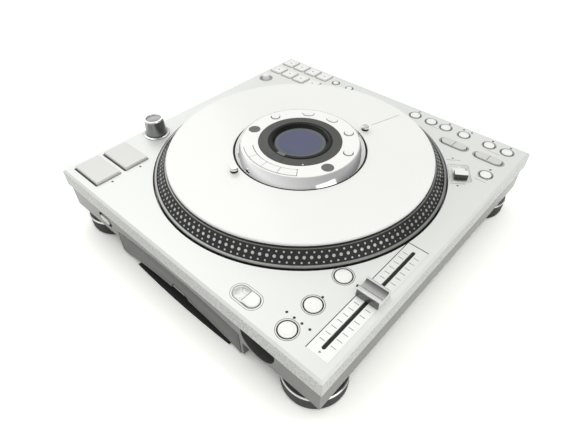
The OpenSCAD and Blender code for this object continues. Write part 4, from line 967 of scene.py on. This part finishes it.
# %% Finger recess
SHEET_HALF = 66 * MM
SHEET_BACK = -150 * MM
SHEET_FRONT, SHEET_BOW = -165.6 * MM, 1.7 * MM
SHEET_LEVEL, SHEET_T = 0.4 * MM, 0.6 * MM
WALL_W, WALL_LEVEL, WALL_H = 0.8 * MM, 0.9 * MM, 2.58 * MM

# Painted shade: a dark sheet on the recess floor and a dark wall at its back stand in
# for the shade there.
across = np.linspace(-SHEET_HALF, SHEET_HALF, 49)
front_edge = SHEET_FRONT - SHEET_BOW * (1 - (across / SHEET_HALF) ** 2)
shade_sheet = np.concatenate([
    np.column_stack([across, front_edge]),
    np.array([[SHEET_HALF, SHEET_BACK], [-SHEET_HALF, SHEET_BACK]])])
prints("finger_shade_sheet", [shade_sheet], SHEET_LEVEL, shade_sheet_dark, thick=SHEET_T)
wall = bar(2 * SHEET_HALF, WALL_W, (0, SHEET_BACK - WALL_W / 2))
prints("finger_shade_sheet_back", [wall], WALL_LEVEL, shade_sheet_dark, thick=WALL_H)
print("recess lined", 2 * SHEET_HALF / MM, "mm wide")

# %% [markdown]
# ## Gap round the tray door
#
# A black band of painted shade fills the gap along the door's sides and its
# arched top.  The arch is part of a circle, whose radius comes from half the
# door's width w and the arch's rise h: (w^2 + h^2) / 2h.

# %% Gap round the tray door
DOOR_ARCH = 6.7 * MM
SEAM_FOOT = 5.8 * MM
SEAM_IN, SEAM_OUT = 0.12 * MM, 0.74 * MM
SEAM_Y = (-164.7 * MM, -163.5 * MM)

door_low, door_high = (np.array(c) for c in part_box("tray_door"))
door_half = (door_high[0] - door_low[0]) / 2
door_x = (door_high[0] + door_low[0]) / 2
door_curve = (door_half ** 2 + DOOR_ARCH ** 2) / (2 * DOOR_ARCH)


def door_arch(grow):
    """The door's sides and arched top in X and Z, moved outwards."""
    radius = door_curve + grow
    reach = math.asin((door_half + grow) / radius)
    a = np.linspace(-reach, reach, 61)
    top = np.column_stack([door_x + radius * np.sin(a),
                           door_high[2] - door_curve + radius * np.cos(a)])
    feet = np.array([[top[0, 0], SEAM_FOOT], [top[-1, 0], SEAM_FOOT]])
    return np.concatenate([feet[:1], top, feet[1:]])


# Painted shade: a black band inside the gap round the door.
seam = np.concatenate([door_arch(SEAM_OUT), door_arch(SEAM_IN)[::-1]])
seam_points, seam_faces = raise_outlines([seam], *SEAM_Y)
new_piece("door_seam_shade", seam_points[:, [0, 2, 1]], seam_faces, ink_black, "deck")
print("seam over", 2 * door_half / MM, "mm")

# %% [markdown]
# ## Lines and small signs on the deck
#
# The lever's pocket has a thin line round it, and a stroke and a small triangle
# at each end, and a dark triangle of painted shadow lies on its floor at one
# corner.  Short strokes stand by other rear keys, and two grey rings run round
# the level knob.

# %% Deck signs
STROKE_W = 0.38 * MM
STROKES = (
    ((0.1071, 0.0996), (0.1188, 0.1075)), ((0.1279, 0.0680), (0.1396, 0.0765)),
    ((0.1249, 0.0693), (0.1290, 0.0721)), ((0.1416, 0.0957), (0.1535, 0.0957)),
    ((0.1416, 0.0911), (0.1535, 0.0911)), ((0.0616, 0.1446), (0.0737, 0.1438)),
    ((0.1311, 0.1424), (0.1442, 0.1420)))
END_ARROW, END_ARROWS = 2.4 * MM, ((0.1108, 0.1061), (0.1356, 0.0694))
POCKET, POCKET_LINE, POCKET_DEPTH = (20 * MM, 26 * MM, 2 * MM), 0.4 * MM, 2.5 * MM
CORNER, CORNER_SHADOW_SIZE = (7.4 * MM, 9.6 * MM), 3.4 * MM
LEVEL_RING, LEVEL_RING_T = (4.7 * MM, 7.5 * MM), 0.2 * MM
LEVEL_LINE = (7.6 * MM, 8.6 * MM)

prints("deck_strokes", [line(a, b, STROKE_W) for a, b in STROKES], DECK_TOP, ink_grey)
prints("lever_arrows", [arrow(END_ARROW, at, LEVER_DEGREES + 180 * i)
                        for i, at in enumerate(END_ARROWS)], DECK_TOP, ink_dark)
pocket = (*POCKET, lever_middle, LEVER_DEGREES)
bands("pocket_line", [grown(pocket, 0, POCKET_LINE)], DECK_TOP, ink_mid)
pocket_floor = DECK_TOP - POCKET_DEPTH
corner = turn([CORNER], LEVER_DEGREES)[0] + lever_middle
# Painted shadow: a dark triangle on the pocket's floor at one corner.
prints("pocket_shadow_triangle", [arrow(CORNER_SHADOW_SIZE, corner, LEVER_DEGREES)],
       pocket_floor, ink_dark)
for name, reach, level, thick in (
        ("level_ring", LEVEL_RING, pocket_floor, LEVEL_RING_T),
        ("level_line", LEVEL_LINE, DECK_TOP, INK_T)):
    pair = tuple(round_spot(r, middle("level_knob")[:2], 40) for r in reach)
    bands(name, [pair], level, ink_mid, thick=thick)
print("signs", len(STROKES))

# %% [markdown]
# ## Lines on the hub and the disc
#
# The four bar keys of the hub are outlined, heavier on the inside.  The small
# keys stand in thin rings, two grey speaker dots lie just below the surface, a
# few marks lie on the window, and the disc carries one cue line near its edge.

# %% Hub lines
KEY_RING = (46.8 * MM, 55.2 * MM)
KEY_SPAN = (-127.0, -51.8)
KEY_SPLITS = (-108.2, -89.4, -70.6)
INNER_LINE = (KEY_RING[0] - 0.75 * MM, KEY_RING[0] - 0.1 * MM)
OUTER_LINE = (KEY_RING[1] + 0.1 * MM, KEY_RING[1] + 0.45 * MM)
END_W, SPLIT_W = 0.5 * MM, 0.42 * MM


def spoke(degrees, reach, width):
    """Stroke away from the hub's axis, from one radius to another."""
    return line(HUB + ray(degrees) * reach[0], HUB + ray(degrees) * reach[1], width)


prints("hub_inner_line", [arc_band(*INNER_LINE, KEY_SPAN[0] - 1, KEY_SPAN[1] + 1,
                                   HUB, 48)], HUB_TOP, ink_black)
prints("hub_outer_line", [arc_band(*OUTER_LINE, *KEY_SPAN, HUB, 48)],
       HUB_TOP, ink_grey)
prints("hub_end_lines", [spoke(a, KEY_RING, END_W) for a in KEY_SPAN],
       HUB_TOP, ink_dark)
prints("hub_split_lines", [spoke(a, KEY_RING, SPLIT_W) for a in KEY_SPLITS],
       HUB_TOP, ink_dark)
print("hub key lines", 4 + len(KEY_SPLITS))

# %% Hub key rings and dots
BUTTON_ORBIT = 49.8 * MM
BUTTON_W, WIDE_L = 8.4 * MM, 11.6 * MM
BUTTONS_AT, WIDE_AT = (162.5, 56, 17), (121.5, 90)
RING_IN, RING_OUT, WIDE_RING_OUT = 0.1 * MM, 0.8 * MM, 0.5 * MM
SPEAKERS_AT, SPEAKER_R = (-161.5, -18.5), 5.8 * MM
SPEAKER_SINK, SPEAKER_T = 0.5 * MM, 0.35 * MM


def button_ring(degrees, length, reach):
    """Ring round a small hub key, as two outlines."""
    key = (BUTTON_W, length, BUTTON_W / 2, HUB + ray(degrees) * BUTTON_ORBIT, degrees)
    return grown(key, RING_IN, reach)


bands("hub_rings", [button_ring(a, BUTTON_W, RING_OUT) for a in BUTTONS_AT],
      HUB_TOP, ink_dark)
bands("hub_wide_rings", [button_ring(a, WIDE_L, WIDE_RING_OUT) for a in WIDE_AT],
      HUB_TOP, ink_grey)
spots = [round_spot(SPEAKER_R, HUB + ray(a) * BUTTON_ORBIT, 40) for a in SPEAKERS_AT]
prints("hub_speaker_dots", spots, HUB_TOP - SPEAKER_SINK, speaker_grey,
       thick=SPEAKER_T)
print("hub rings", len(BUTTONS_AT) + len(WIDE_AT))

# %% Window marks and cue line
BLOCK_SPAN, MARKS_AT, MARK_W = (-94, -77), (-94.5, -76.5), 0.35 * MM
NARROW, WIDE = (27.9 * MM, 31.2 * MM), (32.6 * MM, 39.6 * MM)
INDEX_ORBIT, INDEX_SIZE = 39.4 * MM, 2.0 * MM
FOOT_GAP, FOOT_GAP_SINK, FOOT_GAP_T = (65.25 * MM, 65.95 * MM), 0.9 * MM, 0.7 * MM
CUE_LINE, CUE_W = ((0.0270, 0.0812), (0.0378, 0.1173)), 0.5 * MM

window_ring = HUB_TOP + 1.2 * MM
window_bezel = HUB_TOP + 0.4 * MM
prints("window_block", [arc_band(*NARROW, *BLOCK_SPAN, HUB, 16)],
       window_ring, ink_grey)
prints("window_block_wide", [arc_band(*WIDE, *BLOCK_SPAN, HUB, 16)],
       window_bezel, ink_slate)
prints("window_marks", [spoke(a, WIDE, MARK_W) for a in MARKS_AT],
       window_bezel, ink_black)
prints("window_index", [arrow(INDEX_SIZE, HUB + ray(-45) * INDEX_ORBIT, 45)],
       window_bezel, ink_white)
# Painted shade: a black band low in the gap round the hub's foot.
bands("hub_foot_gap_shade", [tuple(round_spot(r, HUB, 128) for r in FOOT_GAP)],
      DISC_TOP - FOOT_GAP_SINK, ink_black, thick=FOOT_GAP_T)
prints("cue_line", [line(*CUE_LINE, CUE_W)], DISC_TOP, ink_grey, "platter")
print("window marked")

# %% [markdown]
# ## Lamps
#
# Small lamps stand in the deck beside their keys.  Each is a low dome, whose
# side is a quarter of an ellipse.  Only the reset key's lamp is a flat bar.


# %% Domes
def dome(name, at, radius, rise, level, material, rows=6, steps=24):
    """Low dome: r = radius cos t and z = level + rise sin t, t from 0 to 90."""
    t = np.linspace(0, np.pi / 2, rows)[:, None]
    a = np.linspace(0, 2 * np.pi, steps, endpoint=False)[None, :]
    x = at[0] + radius * np.cos(t) * np.cos(a)
    y = at[1] + radius * np.cos(t) * np.sin(a)
    z = level + rise * np.sin(t) + 0 * a
    vertices = np.stack([x, y, z], -1).reshape(-1, 3)
    i, j = np.meshgrid(np.arange(rows - 1), np.arange(steps), indexing="ij")
    k = (j + 1) % steps
    quads = np.stack([i * steps + j, i * steps + k, (i + 1) * steps + k,
                      (i + 1) * steps + j], -1).reshape(-1, 4)
    faces = quads.tolist() + [np.arange(steps)[::-1].tolist()]
    shade(new_piece(name, vertices, faces, material, "deck"), 50)


# %% Lay the lamps
LAMP_R, LAMP_RISE = 1.1 * MM, 0.35 * MM
BIG_KEY_LAMP, REAR_LAMP = 4.0 * MM, 9.5 * MM
REAR_LAMPS = ((1, "rear_button_3", 0), (4, "rear_button_1", 0),
              (5, "rear_button_4", -4.5), (6, "rear_button_4", 4.7),
              (7, "rear_button_5", 0), (8, "rear_button_6", 0))
NEAR_LAMPS = (("power_lamp", "power_button", 0, 10.3),
              ("lock_lamp", "lock_button", 0.8, 10.0),
              *((f"range_lamp_{i}", "range_button", right, 10.5)
                for i, right in enumerate((-10.2, -2.9, 4.4, 11.8), 1)))
RESET_LAMP = (3.6 * MM, 2.2 * MM, 0.5 * MM, (0.1367, -0.0890))

lamp_places = {}
for key in big_keys:
    lamp_places[key + "_lamp"] = (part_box(key)[1].x + BIG_KEY_LAMP, middle(key)[1])
rear_lamp_y = middle("rear_button_1")[1] + REAR_LAMP
for i, node, right in REAR_LAMPS:
    lamp_places[f"rear_lamp_{i}"] = (middle(node)[0] + right * MM, rear_lamp_y)
for name, node, right, behind in NEAR_LAMPS:
    lamp_places[name] = middle(node)[:2] + (right * MM, behind * MM)
for name, at in lamp_places.items():
    dome(name, at, LAMP_R, LAMP_RISE, DECK_TOP, lamp_dark)
prints("reset_lamp", [rounded(*RESET_LAMP)], DECK_TOP, lamp_dark, thick=0.5 * MM)
print("lamps", len(lamp_places) + 1)

# %% [markdown]
# ## Floor and light
#
# The photograph is high key: a white ground, soft light from above and small
# soft shadows under the case.  A wide pale floor takes the shadows.  To the
# camera, and in mirrors, its colour is lighter than to the light that bounces
# on to the object, so that it reads as white and its shadows stay dark.  Its
# far part is shown lighter still, because less light reaches it.

# %% Floor
FLOOR_HALF = 6.0
FLOOR_SHOWN, FLOOR_FAR = 1.22, 1.6
FAR_FROM, FAR_TO = 0.6, 2.5

floor_mesh = bpy.data.meshes.new("floor")
floor_mesh.from_pydata([(x * FLOOR_HALF, y * FLOOR_HALF, 0) for x, y in
                        ((-1, -1), (1, -1), (1, 1), (-1, 1))], [], [(0, 1, 2, 3)])
floor = bpy.data.objects.new("floor", floor_mesh)
bpy.context.scene.collection.objects.link(floor)

ground = Paint("ground")
ground_rays = ground.add("LightPath").socket.node.outputs
seen = Wire(ground, ground_rays["Is Camera Ray"])
for kind in ("Is Glossy Ray", "Is Transmission Ray"):
    seen = seen.math("MAXIMUM", Wire(ground, ground_rays[kind]))
bounce = ground.add("BsdfDiffuse", {
    "Color": ground.mix(grey(0.80), grey(0.82), ground.noise(1.5))})
far_off = ground.polar((0.0, 0.0))[0].ramp(FAR_FROM, FAR_TO)
shown = ground.add("BsdfDiffuse", {
    "Color": ground.mix(grey(FLOOR_SHOWN), grey(FLOOR_FAR), far_off)})
ground.show(ground.add("MixShader", {0: seen, 1: bounce, 2: shown}))
floor_mesh.materials.append(ground.owner)
print("floor laid")

# %% [markdown]
# The world's soft light is slightly warm, and brighter from above, the left
# and behind than from the camera's side, which keeps the front faces dark.
# Mirrors see a world of their own: brighter on the left, with a darker band
# along the horizon, so that chrome has something to show.  The camera sees
# plain white.

# %% World
WORLD_LEVEL, WORLD_SWING = 0.60, 0.26
WORLD_BRIGHT_SIDE = (-0.30, 0.20, 0.93)
WARM = (1.0, 1.0, 0.955, 1.0)
MIRROR_LEVEL, MIRROR_SWING = 0.74, 0.30
MIRROR_BRIGHT_SIDE = (-0.85, -0.35, -0.40)
HORIZON = (0.06, 0.40)
HORIZON_LEVEL, HORIZON_SWING = 0.42, 0.62

world = bpy.data.worlds.new("studio")
bpy.context.scene.world = world
sky = Paint("studio", world)
direction = sky.add("TexCoord")


def towards(way):
    """Cosine of the angle between the way looked in and a given way."""
    return sky.add("VectorMath", {0: direction, 1: way},
                   {"operation": "DOT_PRODUCT"}, output=1)


side = towards(WORLD_BRIGHT_SIDE)
studio_light = sky.add("Background", {
    "Color": WARM, "Strength": side * WORLD_SWING + WORLD_LEVEL})
mirror_side = towards(MIRROR_BRIGHT_SIDE)
upright = towards((0, 0, 1))
horizon = upright.math("ABSOLUTE").ramp(*HORIZON)
horizon = horizon * HORIZON_SWING + HORIZON_LEVEL
mirrored = sky.add("Background", {
    "Color": grey(1.0),
    "Strength": (mirror_side * MIRROR_SWING + MIRROR_LEVEL) * horizon})
backdrop = sky.add("Background", {"Color": grey(1.0)})
sky_ray = sky.add("LightPath")
glossy = Wire(sky, sky_ray.socket.node.outputs["Is Glossy Ray"])
lit = sky.add("MixShader", {0: glossy, 1: studio_light, 2: mirrored})
sky.show(sky.add("MixShader", {0: sky_ray, 1: lit, 2: backdrop}), "OutputWorld")
print("world lit")

# %% [markdown]
# Three soft boxes stand on the left, on the right and over the near corner.
# The near one isn't seen in mirrors, where it would be a hard white patch.


# %% Lamps of the studio
def softbox(name, at, target, size, power, tint=(1.0, 1.0, 0.98)):
    """Square area light that faces a target."""
    light = bpy.data.lights.new(name, "AREA")
    light.size = size
    light.energy = power
    light.color = tint
    lamp = bpy.data.objects.new(name, light)
    aim = (Vector(target) - Vector(at)).to_track_quat("-Z", "Y")
    lamp.matrix_world = Matrix.Translation(at) @ aim.to_matrix().to_4x4()
    bpy.context.scene.collection.objects.link(lamp)
    return lamp


softbox("left", (-0.80, 0.15, 1.05), (0, 0, 0.05), 1.0, 4.1)
softbox("right", (1.25, -0.15, 0.28), (0.15, 0, 0.04), 0.7, 2.0, WARM[:3])
near_box = softbox("near", (0.52, -0.20, 0.95), (0.10, 0, 0.05), 0.9, 3.7, WARM[:3])
near_box.visible_glossy = False
print("studio lit")
